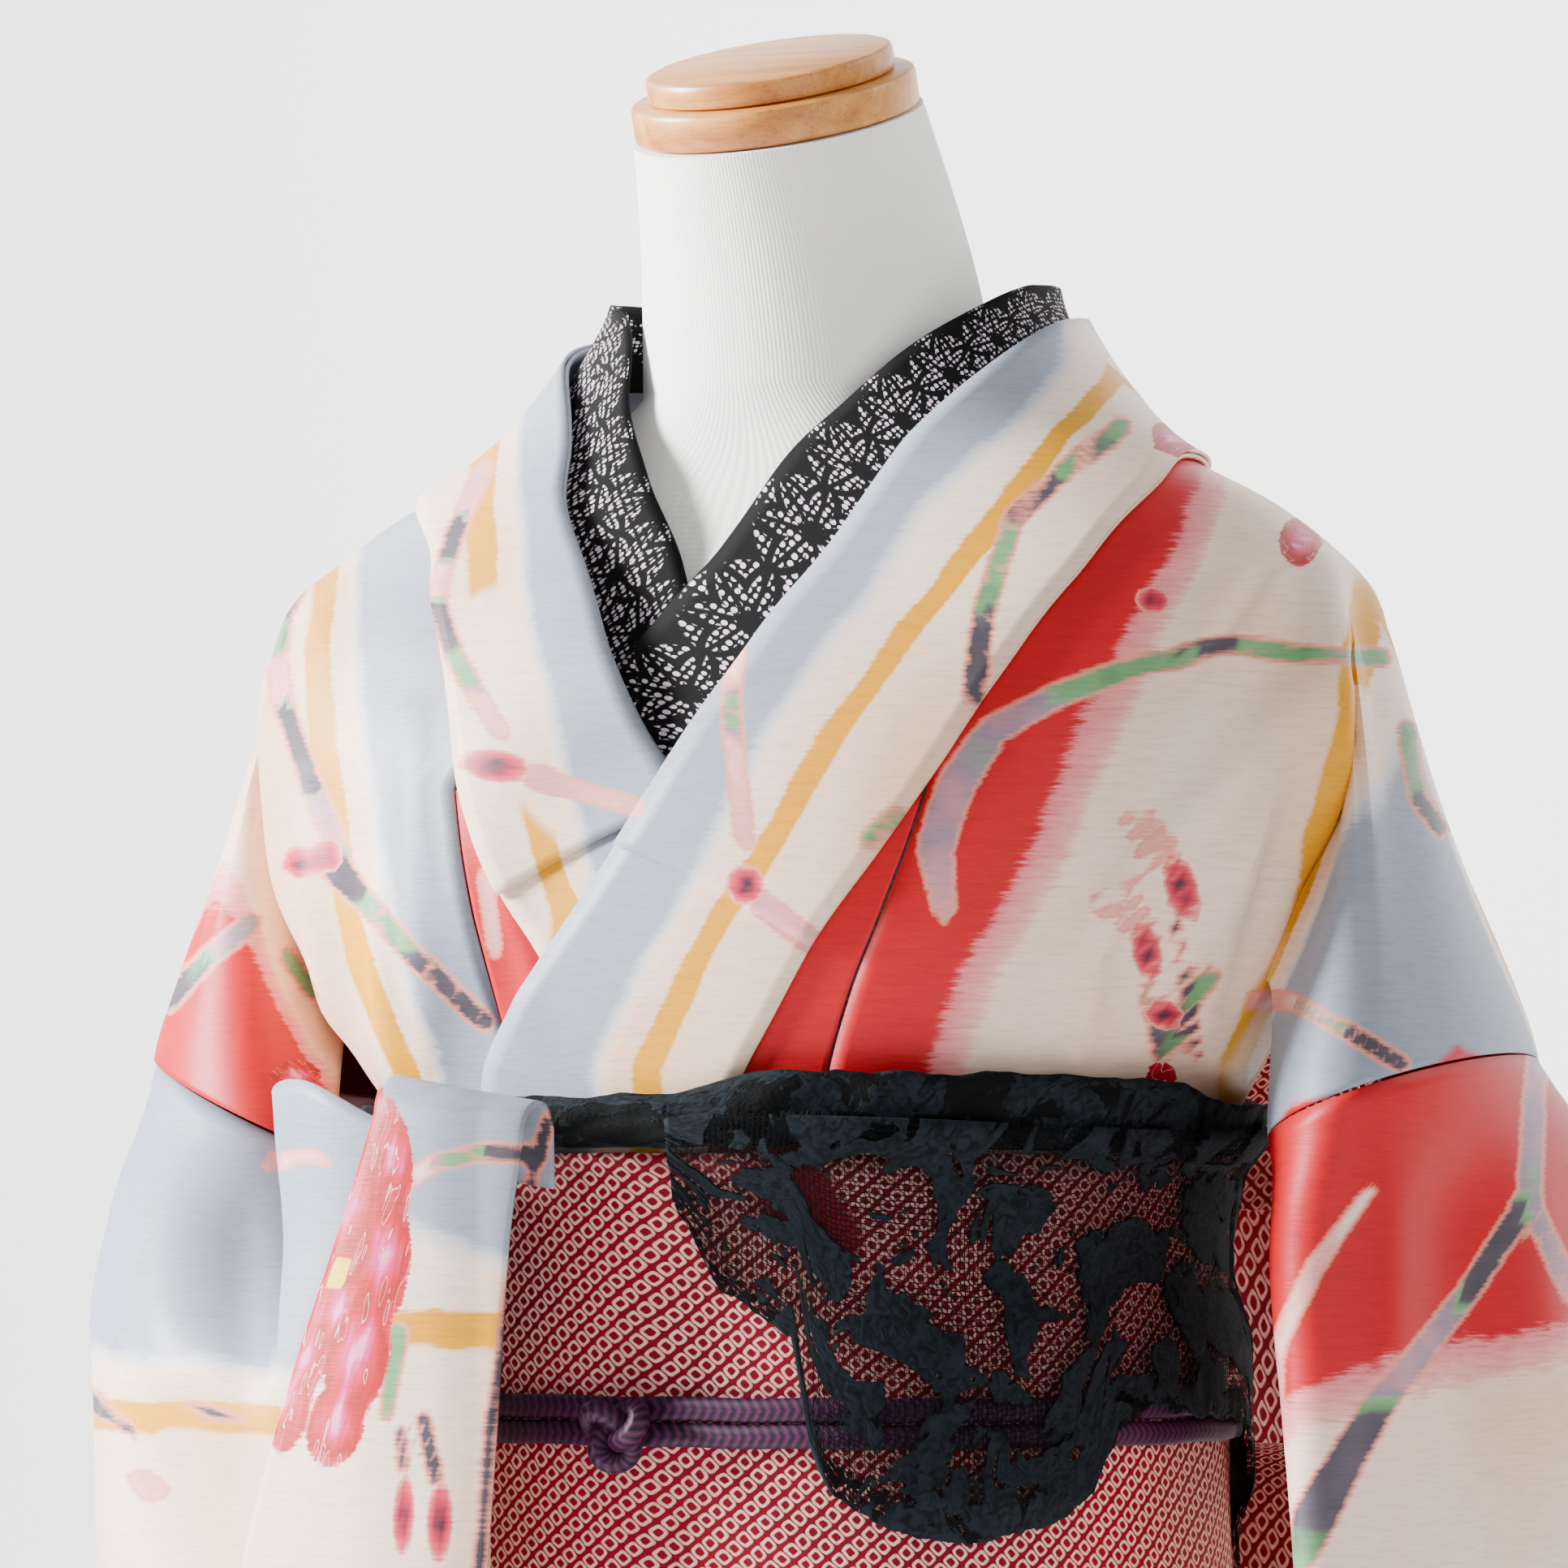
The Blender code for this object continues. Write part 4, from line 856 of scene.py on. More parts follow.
# two ends in picture units, half width in millimetres at each, and a tone from dark to pink
LEFT_VINES = table(
    "x0 y0 x1 y1 w0 w1 tone",
    (728, 402, 760, 397, 2, 2, 0.1),
    (760, 397, 800, 404, 2, 2, 0.4),
    (800, 404, 850, 406, 2, 2, 0.35),
    (735, 405, 700, 411, 2.5, 2.5, 0.3),
    (700, 411, 650, 430, 2.5, 3, 0.35),
    (650, 430, 612, 450, 3, 4, 0.55),
    (612, 450, 590, 482, 4, 5.5, 0.5),
    (590, 482, 576, 522, 5.5, 5, 0.6),
    (576, 522, 582, 562, 5, 3, 0.7),
    (690, 500, 708, 530, 1, 1.5, 0.9),
    (708, 500, 722, 524, 1, 1.5, 0.9),
    (674, 556, 698, 574, 1, 1.5, 0.9),
    (694, 545, 704, 566, 1, 1.5, 0.9),
    (724, 566, 736, 650, 1.2, 1.2, 0.1),
    (704, 604, 714, 650, 1.2, 1.2, 0.3),
    (706, 612, 722, 640, 1, 3, 0.35),
    (728, 620, 744, 600, 1, 3, 0.35),
    (770, 615, 800, 618, 2, 2, 0.9),
    (800, 618, 830, 636, 2, 2, 0.35),
    (830, 636, 862, 656, 2, 2, 0.1),
    (865, 450, 870, 490, 2, 2, 0.35),
    (870, 490, 886, 512, 2, 2, 0.1),
)
LEFT_BLOOMS = table(
    "x y half_x half_y lean kind",
    (800, 335, 13, 15, 0, 1),
    (710, 371, 12, 9, 20, 0),
    (727, 546, 11, 24, -18, 0),
    (706, 586, 10, 21, -14, 0),
    (716, 624, 12, 9, 20, 0),
    (714, 662, 10, 9, 0, 1),
)
RIGHT_VINES = table(
    "x0 y0 x1 y1 w0 w1 tone",
    (190, 350, 175, 380, 2.5, 2.5, 0.05),
    (175, 380, 172, 404, 2.5, 2.5, 0.35),
    (172, 404, 176, 432, 2.5, 3, 0.85),
    (176, 432, 195, 488, 2.5, 2.5, 0.1),
    (195, 488, 210, 522, 2.5, 2.5, 0.85),
    (207, 532, 224, 552, 4, 3, 0.1),
    (224, 552, 256, 588, 3, 2, 0.4),
    (256, 588, 300, 630, 2.5, 2, 0.15),
    (176, 590, 192, 612, 2, 2, 0.35),
    (155, 570, 130, 590, 2, 2.5, 0.6),
    (130, 590, 106, 618, 2.5, 2, 0.2),
)
RIGHT_BLOOMS = table(
    "x y half_x half_y lean kind",
    (186, 531, 13, 10, 0, 0),
    (204, 527, 9, 10, 0, 0),
    (182, 664, 15, 9, 0, 1),
)
STRIPES = {LEFT: LEFT_STRIPES, RIGHT: RIGHT_STRIPES}
FINE = 6                                 # squares to each of the coarse steps of an opening


def body_panel(side, name, vines, blooms):
    first, last, parts = 5, 11, 5        # the opening's coarse columns, and its coarse rows
    columns = [k / FINE for k in range(last * FINE + 1)] + [last + k / 4 for k in range(1, 21)]
    corners = [ARM_BOTTOM, 1166, TIP_HEIGHT[side] - 6, TIP_HEIGHT[side] + 10, 1233, ARM_TOP]
    length = along_panel()
    low = len(length) - 1
    opening = [mix(a, b, k / FINE) for a, b in zip(corners, corners[1:]) for k in range(FINE)]
    length += [(z, 0) for z in opening[1:] + [ARM_TOP]]
    top, above = len(length) - 1, 22
    highest = neck_edge(side, front_edge(side, 1275))

    def panel_angle(column, height):
        if column <= first:
            return mix(front_edge(side, height), ARM_FRONT, column / first)
        if column <= last:
            return mix(ARM_FRONT, ARM_BACK, (column - first) / (last - first))
        return mix(ARM_BACK, 90 - CENTRE_GAP, (column - last) / 5)

    def spot(column, row):
        if row <= top:
            z, offset = length[round(row)]
            return worn_point(side, panel_angle(column, z), z, offset)
        share = (row - top) / above
        angle = panel_angle(column, mix(ARM_TOP, highest - 4, share))
        return worn_point(side, angle, mix(ARM_TOP, neck_edge(side, angle), share), 0)

    def main(i, j):
        return spot(columns[i if side == LEFT else -1 - i], j)

    def opening_hole(i, j):
        column = i if side == LEFT else len(columns) - 1 - i
        return first * FINE < column < last * FINE and low < j < top

    # round the opening, from the slit under its front end to the slit under its back end
    front, back = SLIT_COLUMNS[side]
    rim = [(c / FINE, 0) for c in range((first + front) * FINE, first * FINE, -1)]
    rim += [(first, r) for r in range(parts * FINE)]
    rim += [(c / FINE, parts * FINE) for c in range(first * FINE, last * FINE)]
    rim += [(last, r) for r in range(parts * FINE, 0, -1)]
    rim += [(c / FINE, 0) for c in range(last * FINE, (last - back) * FINE - 1, -1)]
    drop_rows = 36

    @lru_cache(maxsize=None)
    def start_of(n):
        column, row = rim[n]
        start = spot(column, low + row)
        height = np.interp(row, range(0, parts * FINE + 1, FINE), corners)
        inner_column = min(max(column, first + 1), last - 1)
        inner_height = min(max(height, corners[1]), corners[-2])
        inner = worn_point(side, panel_angle(inner_column, inner_height), inner_height, 0)
        return start, (inner - start).normalized()

    def drop(i, j):
        n = i if side == LEFT else len(rim) - 1 - i
        start, into = start_of(n)
        end, turn = armhole_point(side, n / (len(rim) - 1))
        outward = Vector((start.x / 200, start.y / 110, 0)).normalized()
        raised = (start.z - ARM_BOTTOM) / (ARM_TOP - ARM_BOTTOM)
        start_pull = into * (INWARD_PULL + 22 * max(-into.z, 0))
        start_pull = start_pull + outward * mix(17, OUTWARD_PULL[side], 1 - raised)
        end_pull = Vector((side * 8, -10 * ease(-turn / 90), -mix(50, 75, raised)))
        t = 1 - j / drop_rows
        place = hermite(start, start_pull, end, end_pull, t)
        return place, start, 0.12 * t ** 1.5 if side == LEFT else -0.17 * t ** 1.1

    made = cloth(name, ((len(columns) - 1, top + above, main, opening_hole, STRIPES[side]),
                        (len(rim) - 1, drop_rows, drop, None, STRIPES[side])), [silk, lining])
    painted(made, vines, blooms)
    in_slot(made, name)
    return made


body_panel(LEFT, "body_panel_left", LEFT_VINES, LEFT_BLOOMS)
body_panel(RIGHT, "body_panel_right", RIGHT_VINES, RIGHT_BLOOMS)


# Overlap panels.  Half-width lengths of the same silk in its red part, sewn to the front
# edge of each body panel, tapering to a point under the collar.

def overlap_panel(side, name):
    rows = [(z, o) for z, o in along_panel() if z <= ARM_BOTTOM]
    rows += [(z, 0) for z in heights(ARM_BOTTOM, (4.5, TIP_HEIGHT[side] - 6))[1:]]
    count = 18

    def place(i, j):
        z, offset = rows[j]
        seam = front_edge(side, z)
        under_collar = collar_edge_angle(side, max(z, 1050)) - UNDERLAP - 0.6
        free = mix(at(OVERLAP, "angle", z) + 1.2, under_collar, ease((z - 1020) / 40))
        share = (i if side == LEFT else count - i) / count
        return worn_point(side, mix(free, seam - SEAM_ANGLE, share), z, offset)

    made = cloth(name, ((count, len(rows) - 1, place, None, 0.05),), [silk, lining],
                 size=(0.17, 1.25))
    painted(made, OVERLAP_VINES)
    in_slot(made, name)


OVERLAP_VINES = table("x0 y0 x1 y1 w0 w1 tone", (505, 690, 560, 640, 1, 1, 0.9),
                      (300, 540, 306, 585, 1.5, 1.5, 0.8))

overlap_panel(LEFT, "overlap_panel_left")
overlap_panel(RIGHT, "overlap_panel_right")


# Collar.  One long strip of the silk, doubled, all round the neck and down both fronts,
# with a shorter strip of the same silk sewn over it to take the wear.

COLLAR_THICKNESS, LAST_STATION = 1.5, 14
LEFT_COLLAR_STRIPES = Stripes(
    (0.2555, 0.229, 0.217, 0.112),
    (230, 650, 683, 697, 800),
    (280, 600, 638, 652, 740),
    (310, 565, 618, 632, 720),
    (370, 530, 570, 584, 690),
    (410, 500, 540, 554, 660),
    (450, 470, 507, 521, 630),
    (500, 445, 482, 496, 600),
    (560, 415, 443, 457, 570),
    (600, 390, 418, 432, 540),
    (655, 365, 392, 406, 520), limits=(0.1, 0.33))
RIGHT_COLLAR_STRIPES = Stripes(
    (0.217, 0.229, 0.2555, 0.33),
    (230, 300, 314, 330, 450),
    (270, 296, 310, 322, 440),
    (310, 291, 305, 323, 440),
    (360, 293, 307, 327, 440),
    (400, 295, 309, 335, 440),
    (440, 305, 319, 345, 450),
    (480, 318, 332, 352, 460),
    (530, 333, 347, 365, 480),
    (560, 345, 359, 375, 500), limits=(0.14, 0.33))
COLLAR_VINES = table(
    "x0 y0 x1 y1 w0 w1 tone",
    (690, 265, 650, 296, 2.5, 2.5, 0.3),
    (650, 296, 624, 322, 2.5, 2.5, 0.1),
    (624, 322, 606, 380, 2.5, 2.5, 0.35),
    (606, 380, 600, 430, 2.5, 3, 0.1),
    (455, 400, 451, 428, 2, 2.5, 0.9),
    (451, 428, 452, 452, 2.5, 2.5, 0.35),
    (452, 452, 460, 520, 2.5, 2, 0.9),
    (470, 556, 500, 580, 3, 3, 0.85),
    (536, 518, 552, 502, 2.5, 2.5, 0.35),
    (300, 290, 286, 320, 2, 2, 0.9),
    (286, 320, 276, 346, 2, 2.5, 0.1),
    (276, 346, 270, 372, 2, 2, 0.85),
    (270, 372, 280, 402, 2.5, 2.5, 0.15),
    (280, 402, 292, 424, 2.5, 2.5, 0.35),
    (292, 424, 310, 452, 2, 2, 0.9),
    (330, 478, 352, 486, 3, 2, 0.9),
    (352, 486, 394, 498, 2, 1.5, 0.9),
)
COLLAR_BLOOMS = table(
    "x y half_x half_y lean kind",
    (722, 272, 14, 12, 0, 1),
    (460, 545, 12, 13, 30, 0),
    (306, 472, 22, 10, 6, 0),
)


def collar_point(station, across, offset):
    side = RIGHT if station < 0 else LEFT
    rows, k = COLLARS[side], abs(station)
    angle = mix(at(rows, "outer_angle", k), at(rows, "inner_angle", k), across)
    height = mix(at(rows, "outer_height", k), at(rows, "inner_height", k), across)
    return worn_point(side, angle, height, offset)


def collar_band(name, right_end, left_end, offset, thickness, slant):
    """The strip between two stations; each end can run aslant from its outer to inner edge."""
    across, count = 12, round(left_end * 8)

    def half(side):
        def place(i, j):
            share = j / across
            if side == RIGHT:
                return collar_point((right_end + slant[0] * share) * i / count, share, offset)
            return collar_point((left_end + slant[1] * share) * (1 - i / count), share, offset)

        return place

    made = cloth(name, ((count, across, half(LEFT), None, LEFT_COLLAR_STRIPES),
                        (count, across, half(RIGHT), None, RIGHT_COLLAR_STRIPES)),
                 [silk], thickness=thickness, size=(0.055, 0.9))
    painted(made, COLLAR_VINES, COLLAR_BLOOMS)
    in_slot(made, name)


collar_band("collar", -LAST_STATION, LAST_STATION, FACING, COLLAR_THICKNESS, (0, 0))
collar_band("collar_cover", -10.1, 10.15, FACING + COLLAR_THICKNESS + 0.6, CLOTH, (0.7, -0.1))


# Lace collar.  A narrow strip of black floral lace basted inside the silk collar, so that a
# band of it shows along the neck.

LACE_LEFT = table(
    "station inner_angle inner_height outer_angle outer_height",
    (0, 90, 1368, 90, 1342),
    (1, 60, 1374, 60, 1347),
    (2, 30, 1378, 30, 1350),
    (3, -3, 1374, 3, 1346),
    (4, -31, 1364, -24, 1333),
    (5, -55, 1349.5, -44, 1312),
    (6, -72.4, 1330, -58, 1288),
    (7, -84.3, 1308, -67, 1262),
    (8, -90.9, 1270, -74, 1232),
    (9, -96, 1238, -79, 1206),
    (10, -100, 1206, -84, 1185),
)
LACE_RIGHT = table(
    "station inner_angle inner_height outer_angle outer_height",
    (0, 90, 1368, 90, 1342),
    (1, 60, 1374, 60, 1347),
    (2, 30, 1378, 30, 1350),
    (3, -8, 1375, 3, 1347),
    (4, -36, 1371, -20, 1338),
    (5, -54, 1361, -38, 1322),
    (6, -66, 1334, -54, 1302),
    (7, -78.7, 1308, -66, 1276),
    (8, -85.7, 1287, -74, 1250),
    (9, -90, 1262, -80, 1226),
    (10, -95, 1232, -86, 1204),
)


def lace_point(station, across):
    side, rows = (RIGHT, LACE_RIGHT) if station < 0 else (LEFT, LACE_LEFT)
    k = abs(station)
    angle = mix(at(rows, "outer_angle", k), at(rows, "inner_angle", k), across)
    height = mix(at(rows, "outer_height", k), at(rows, "inner_height", k), across)
    depth = mix(2.0, 7.0, ease((1290 - height) / 54)) if side == LEFT \
        else mix(2.0, 10.4, ease((1300 - height) / 50))
    return off_surface(body_surface, angle if side == LEFT else 180 - angle, height, -depth)


# Raschel lace of dull black polyester: flowers of seven pointed petals 3 cm apart, whose
# outlines and ribs are solid and whose fill of 1.7 mm holes shows the pale strip beneath it.
collar_lace, tree, shader = new_finish("black_collar_lace", 0.8, Specular_IOR_Level=0.12)
uv = add(tree, "UVMap", uv_map="bolt").outputs[0]
parts = add(tree, "SeparateXYZ", {0: uv})
repeat = add(tree, "Math", {0: parts.outputs[0], 1: 1 / 0.041}, operation="MULTIPLY")
repeat = add(tree, "Math", {0: repeat}, operation="FRACT")
from_left = add(tree, "Math", {0: repeat, 1: 30.0, 2: -15.0}, operation="MULTIPLY_ADD")
from_low = add(tree, "Math", {0: parts.outputs[1], 1: 1250.0, 2: -29.0}, operation="MULTIPLY_ADD")
flat = add(tree, "CombineXYZ", {0: from_left, 1: from_low})
radius = add(tree, "VectorMath", {0: flat}, operation="LENGTH").outputs["Value"]
# seven pointed petals round a middle, and how far each place is from the nearest one's rib
turn = add(tree, "Math", {0: from_low, 1: from_left}, operation="ARCTAN2")
turn = add(tree, "Math", {0: turn, 1: 7 / math.tau, 2: 0.25}, operation="MULTIPLY_ADD")
turn = add(tree, "Math", {0: add(tree, "Math", {0: turn}, operation="FRACT"), 1: 0.5},
           operation="SUBTRACT")
turn = add(tree, "Math", {0: add(tree, "Math", {0: turn}, operation="ABSOLUTE"),
                          1: math.tau / 7}, operation="MULTIPLY")
from_rib = add(tree, "Math", {0: radius, 1: add(tree, "Math", {0: turn}, operation="SINE")},
               operation="MULTIPLY")
swell = add(tree, "Math", {0: radius, 1: math.pi / 17}, operation="MULTIPLY")
swell = add(tree, "Math", {0: swell}, operation="SINE")
petal = add(tree, "Math", {0: swell, 1: -4.3, 2: from_rib}, operation="MULTIPLY_ADD")
petal = add(tree, "Math", {0: petal}, operation="ABSOLUTE")
outline = add(tree, "MapRange", {0: petal, 1: 1.1, 2: 1.4, 3: 0.0, 4: 1.0})
rib = add(tree, "MapRange", {0: from_rib, 1: 0.5, 2: 0.8, 3: 0.0, 4: 1.0})
flower = add(tree, "MapRange", {0: radius, 1: 15.5, 2: 16.0, 3: 1.0, 4: 0.0})
heart = add(tree, "MapRange", {0: radius, 1: 3.0, 2: 3.4, 3: 0.0, 4: 1.0})
cells = add(tree, "TexVoronoi", {"Vector": flat, "Scale": 0.46, "Randomness": 0.3}, feature="F1")
holes = add(tree, "MapRange", {0: cells, 1: 0.36, 2: 0.42, 3: 1.0, 4: 0.0})
for part in (outline, rib, flower, heart):
    holes = add(tree, "Math", {0: holes, 1: part}, operation="MULTIPLY")
shade = add(tree, "MixRGB", {0: holes, 1: colour("#0B0A0C"), 2: colour("#D2C4CF")})
raised = add(tree, "Math", {0: 1.0, 1: holes}, operation="SUBTRACT")
wire(tree, shader, shade, raised, 0.6, 0.0008)


def lace_place(i, j):
    return lace_point(10 - i / 12, j / 12)


lace_collar = cloth("lace_collar", ((240, 12, lace_place, None, None),), [collar_lace],
                    size=(1.03, 0.036))
in_slot(lace_collar, "lace_collar")


# Sleeves.  Flat bags of the silk, one bolt width wide, sewn to the shoulder drops; the left
# one hangs in folds, the right one is brought forward across the sash.

LEFT_SLEEVE = table(
    "height x y half_width half_length swing first_turn last_turn",
    (775, 250, 118, 15, 196, 12, -266, 86),
    (850, 249, 108, 20, 186, 12, -266, 86),
    (930, 244, 92, 26, 166, 12, -262, 88),
    (1000, 234, 72, 33, 141, 10, -244, 98),
    (1050, 218, 50, 36, 117, 6, -212, 110),
    (1096, 206, 24, 38, 94, -7, -168, 128),
)
RIGHT_SLEEVE = table(
    "share x y half_thickness",
    (0.0, -45, -153, 1.6),
    (0.06, -62, -153.5, 3.4),
    (0.2, -98, -151, 6),
    (0.4, -150, -136, 10),
    (0.58, -204, -104, 15),
    (0.74, -241, -58, 19),
    (0.88, -255, 0, 21),
    (0.95, -252, 38, 17),
    (1.0, -249, 66, 3),
)
RIGHT_FREE_EDGES = table(
    "share outer_x outer_y outer_z inner_x inner_y inner_z",
    (0.0, -45, -155, 1078, -45, -151, 1078),
    (0.3, -82, -157, 1088, -80, -145, 1080),
    (0.6, -118, -150, 1102, -112, -127, 1080),
    (0.85, -147, -122, 1098, -137, -84, 1078),
    (1.0, -163, -76, 1084, -165, -26, 1074),
)
LEFT_SLEEVE_STRIPES = Stripes((0.1, 0.112, 0.217), (780, 872, 893, 1090), (850, 840, 862, 1060),
                              (890, 830, 852, 1050), (966, 815, 838, 1030),
                              lying=True, limits=(0.02, 0.21))
RIGHT_SLEEVE_STRIPES = Stripes((0.2555, 0.229, 0.217, 0.13), (45, 830, 862, 876, 1000),
                               (160, 842, 866, 880, 1010), (300, 850, 880, 894, 1020),
                               lying=True, limits=(0.13, 0.33))
LEFT_SLEEVE_VINES = table(
    "x0 y0 x1 y1 w0 w1 tone",
    (945, 650, 940, 740, 2.5, 3, 0.6),
    (940, 740, 900, 800, 3, 3, 0.1),
    (900, 800, 850, 862, 3, 4, 0.55),
    (850, 862, 812, 930, 4, 6, 0.15),
    (812, 930, 800, 966, 6, 3, 0.35),
    (940, 740, 968, 800, 2.5, 2.5, 0.6),
    (845, 730, 810, 780, 1, 1.5, 0.95),
    (810, 780, 788, 832, 1.5, 1.5, 0.95),
    (788, 832, 786, 960, 1.5, 1.5, 0.9),
)
RIGHT_SLEEVE_VINES = table(
    "x0 y0 x1 y1 w0 w1 tone",
    (166, 716, 204, 712, 1.5, 1.5, 0.9),
    (56, 862, 82, 880, 3.5, 1.5, 0.15),
    (100, 868, 152, 872, 1, 1, 0.1),
    (86, 914, 96, 918, 3.5, 3.5, 0.9),
)
BAG_FOLDS = table(
    "x0 y0 x1 y1 width rise",
    (815, 700, 790, 960, 10, 4.0),
    (850, 680, 842, 960, 12, 4.5),
    (893, 665, 902, 960, 13, -4.0),
    (930, 660, 960, 960, 12, 4.0),
    (800, 560, 812, 640, 7, 2.5),
    (845, 470, 858, 640, 9, 3.5),
    (880, 540, 900, 640, 8, 3.0),
    (60, 700, 48, 930, 10, 3.0),
    (110, 700, 95, 930, 12, -3.0),
    (150, 720, 150, 930, 9, 2.6),
    (198, 660, 206, 720, 6, 1.6),
)


def left_sleeve():
    columns, top = 160, LEFT_SLEEVE["height"][-1]
    rows = heights(LEFT_SLEEVE["height"][0], (12, 850), (9, 1000), (6, 1078), (6, top))

    def place(i, j):
        z = rows[j]
        values = [at(LEFT_SLEEVE, column, min(z, top)) for column in list(LEFT_SLEEVE)[1:]]
        turn = mix(values[5], values[6], i / columns)
        lift = ARMHOLE_TILT[LEFT] * math.cos(math.radians(turn)) * ease((z - 930) / 166)
        return oval_point(LEFT, *values[:5], turn, z + lift - SLEEVE_GAP * ease((z - 1050) / 46))

    made = cloth("sleeve_left", ((columns, len(rows) - 1, place, None, LEFT_SLEEVE_STRIPES),),
                 [silk, lining], size=(0.9, 0.34), folds=BAG_FOLDS, flat_above=1.09)
    painted(made, LEFT_SLEEVE_VINES)
    in_slot(made, "sleeve_left")


def bag_point(share, way):
    """A point on the outer or inner leaf of the right sleeve, in plan."""
    here = Vector((at(RIGHT_SLEEVE, "x", share), at(RIGHT_SLEEVE, "y", share), 0))
    low, high = max(share - 0.01, 0), min(share + 0.01, 1)
    along = Vector((at(RIGHT_SLEEVE, "x", high) - at(RIGHT_SLEEVE, "x", low),
                    at(RIGHT_SLEEVE, "y", high) - at(RIGHT_SLEEVE, "y", low), 0)).normalized()
    outward = Vector((along.y, -along.x, 0))
    return here - outward * way * at(RIGHT_SLEEVE, "half_thickness", share)


def right_sleeve():
    fine, free, sewn = 5, 6, 20
    count = free + sewn + free
    rear = free + round(0.65 * sewn)
    top_row = 1088
    rows = heights(775, (12, 925), (8, 1070), (6, top_row))

    @lru_cache(maxsize=None)
    def ends(i):
        k = i / fine
        bag = bag_point(k / rear, 1) if k <= rear else bag_point((count - k) / (count - rear), -1)
        if k < free or k > free + sewn:
            leaf, share = ("outer_", k / free) if k < free else ("inner_", (count - k) / free)
            top = Vector([at(RIGHT_FREE_EDGES, leaf + axis, share) for axis in "xyz"])
        else:
            top = armhole_point(RIGHT, (k - free) / sewn, SLEEVE_GAP)[0]
        return bag, top

    def place(i, j):
        z = rows[j]
        bag, top = ends(i)
        if j == len(rows) - 1:
            return top
        p = bag.lerp(top, ease((z - 1000) / 96))
        gather = 0.1 * max(1000 - z, 0) * ease(-p.x / 200 - 0.3)
        return Vector((p.x + gather, p.y, mix(z, top.z - (top_row - z), ease((z - 900) / 150))))

    patch = (count * fine, len(rows) - 1, place, None, RIGHT_SLEEVE_STRIPES)
    made = cloth("sleeve_right", (patch,), [lining, silk], size=(0.95, 0.31), folds=BAG_FOLDS,
                 flat_above=1.08)
    painted(made, RIGHT_SLEEVE_VINES)
    in_slot(made, "sleeve_right")


left_sleeve()
right_sleeve()


# Turned end of the right sleeve.  The same bag's two layers, turned over its upper edge so
# that they hang in front and show the rose side.

FLAP = table("height left_x right_x", (752, -172, -52), (930, -141, -44), (1000, -118, -39),
             (1060, -94, -35), (1101, -80, -29))
FLAP_STRIPES = Stripes((0.2555, 0.229, 0.217, 0.13), (160, 725, 812, 826, 1010),
                       (240, 745, 812, 826, 1010), (340, 785, 812, 826, 1010),
                       lying=True, limits=(0.125, 0.33))
FLAP_VINES = table(
    "x0 y0 x1 y1 w0 w1 tone",
    (240, 736, 270, 716, 2, 2, 0.9),
    (270, 716, 300, 710, 2, 2, 0.35),
    (300, 710, 332, 711, 2, 2, 0.1),
    (246, 822, 240, 872, 3, 1, 0.35),
    (248, 880, 250, 905, 1, 1, 0.15),
    (262, 872, 270, 912, 1, 1, 0.15),
    (338, 690, 328, 724, 0.8, 0.8, 0.1),
    (328, 724, 316, 792, 0.8, 0.8, 0.1),
    (316, 792, 303, 882, 0.8, 0.8, 0.1),
    (303, 882, 296, 968, 0.8, 0.8, 0.1),
)
FLAP_BLOOMS = table(
    "x y half_x half_y lean kind",
    (211, 784, 7, 15, 12, 2),
    (212, 806, 13, 26, 12, 1),
    (192, 836, 12, 26, 14, 1),
    (222, 690, 14, 26, 20, 1),
    (244, 712, 12, 34, -8, 1),
    (212, 742, 20, 42, 14, 1),
    (238, 775, 16, 44, 4, 1),
    (194, 800, 16, 48, 10, 1),
    (222, 832, 20, 40, 8, 1),
    (182, 862, 14, 36, 12, 1),
    (208, 878, 18, 26, 10, 1),
    (250, 934, 7, 25, 2, 0),
    (272, 938, 8, 25, 2, 0),
)


FLAP_COLUMNS, FLAP_RISE, FLAP_TURN, FLAP_ROWS = 36, 68, 78, 82


@lru_cache(maxsize=None)
def flap_front(x):
    """How far forward the flap's wrong side lies, just clear of the bag behind it."""
    share = curve([-150, -98, -62, -45], [0.4, 0.2, 0.06, 0.0], x)
    return bag_point(share, 1).y - 1.35


def flap_place(i, j):
    """Up the front to row FLAP_RISE, over the bag's edge to FLAP_TURN, then down behind."""
    u = i / FLAP_COLUMNS
    z = mix(752, 1091, min(j / FLAP_RISE, 1))
    x = mix(at(FLAP, "left_x", z), at(FLAP, "right_x", z), u)
    bulge = 3.6 * math.sin(math.pi * u) ** 0.7
    front = Vector((x, flap_front(round(x, 3)) - bulge, z - 9 * u * ease((z - 1000) / 90)))
    if j <= FLAP_RISE:
        return front
    if j <= FLAP_TURN:
        t = math.radians(16 * (j - FLAP_RISE))
        return front + Vector((0, 10.5 * (1 - math.cos(t)), 11 * math.sin(t)))
    share = (j - FLAP_TURN) / (FLAP_ROWS - FLAP_TURN)
    return front + Vector((0, mix(20.4, 21, share), mix(3.8, -16, share)))


turned_end = cloth("sleeve_turned_end",
                   ((FLAP_COLUMNS, FLAP_ROWS, flap_place, None, FLAP_STRIPES),), [silk],
                   thickness=2.0, size=(0.12, 0.37))
painted(turned_end, FLAP_VINES, FLAP_BLOOMS)
in_slot(turned_end, "sleeve_turned_end")


# Sash.  A long strip of crimson crepe, tie-dyed in rows of small rings, wound twice round
# the waist and tied behind into a drum, whose tail hangs and whose hand end holds it.

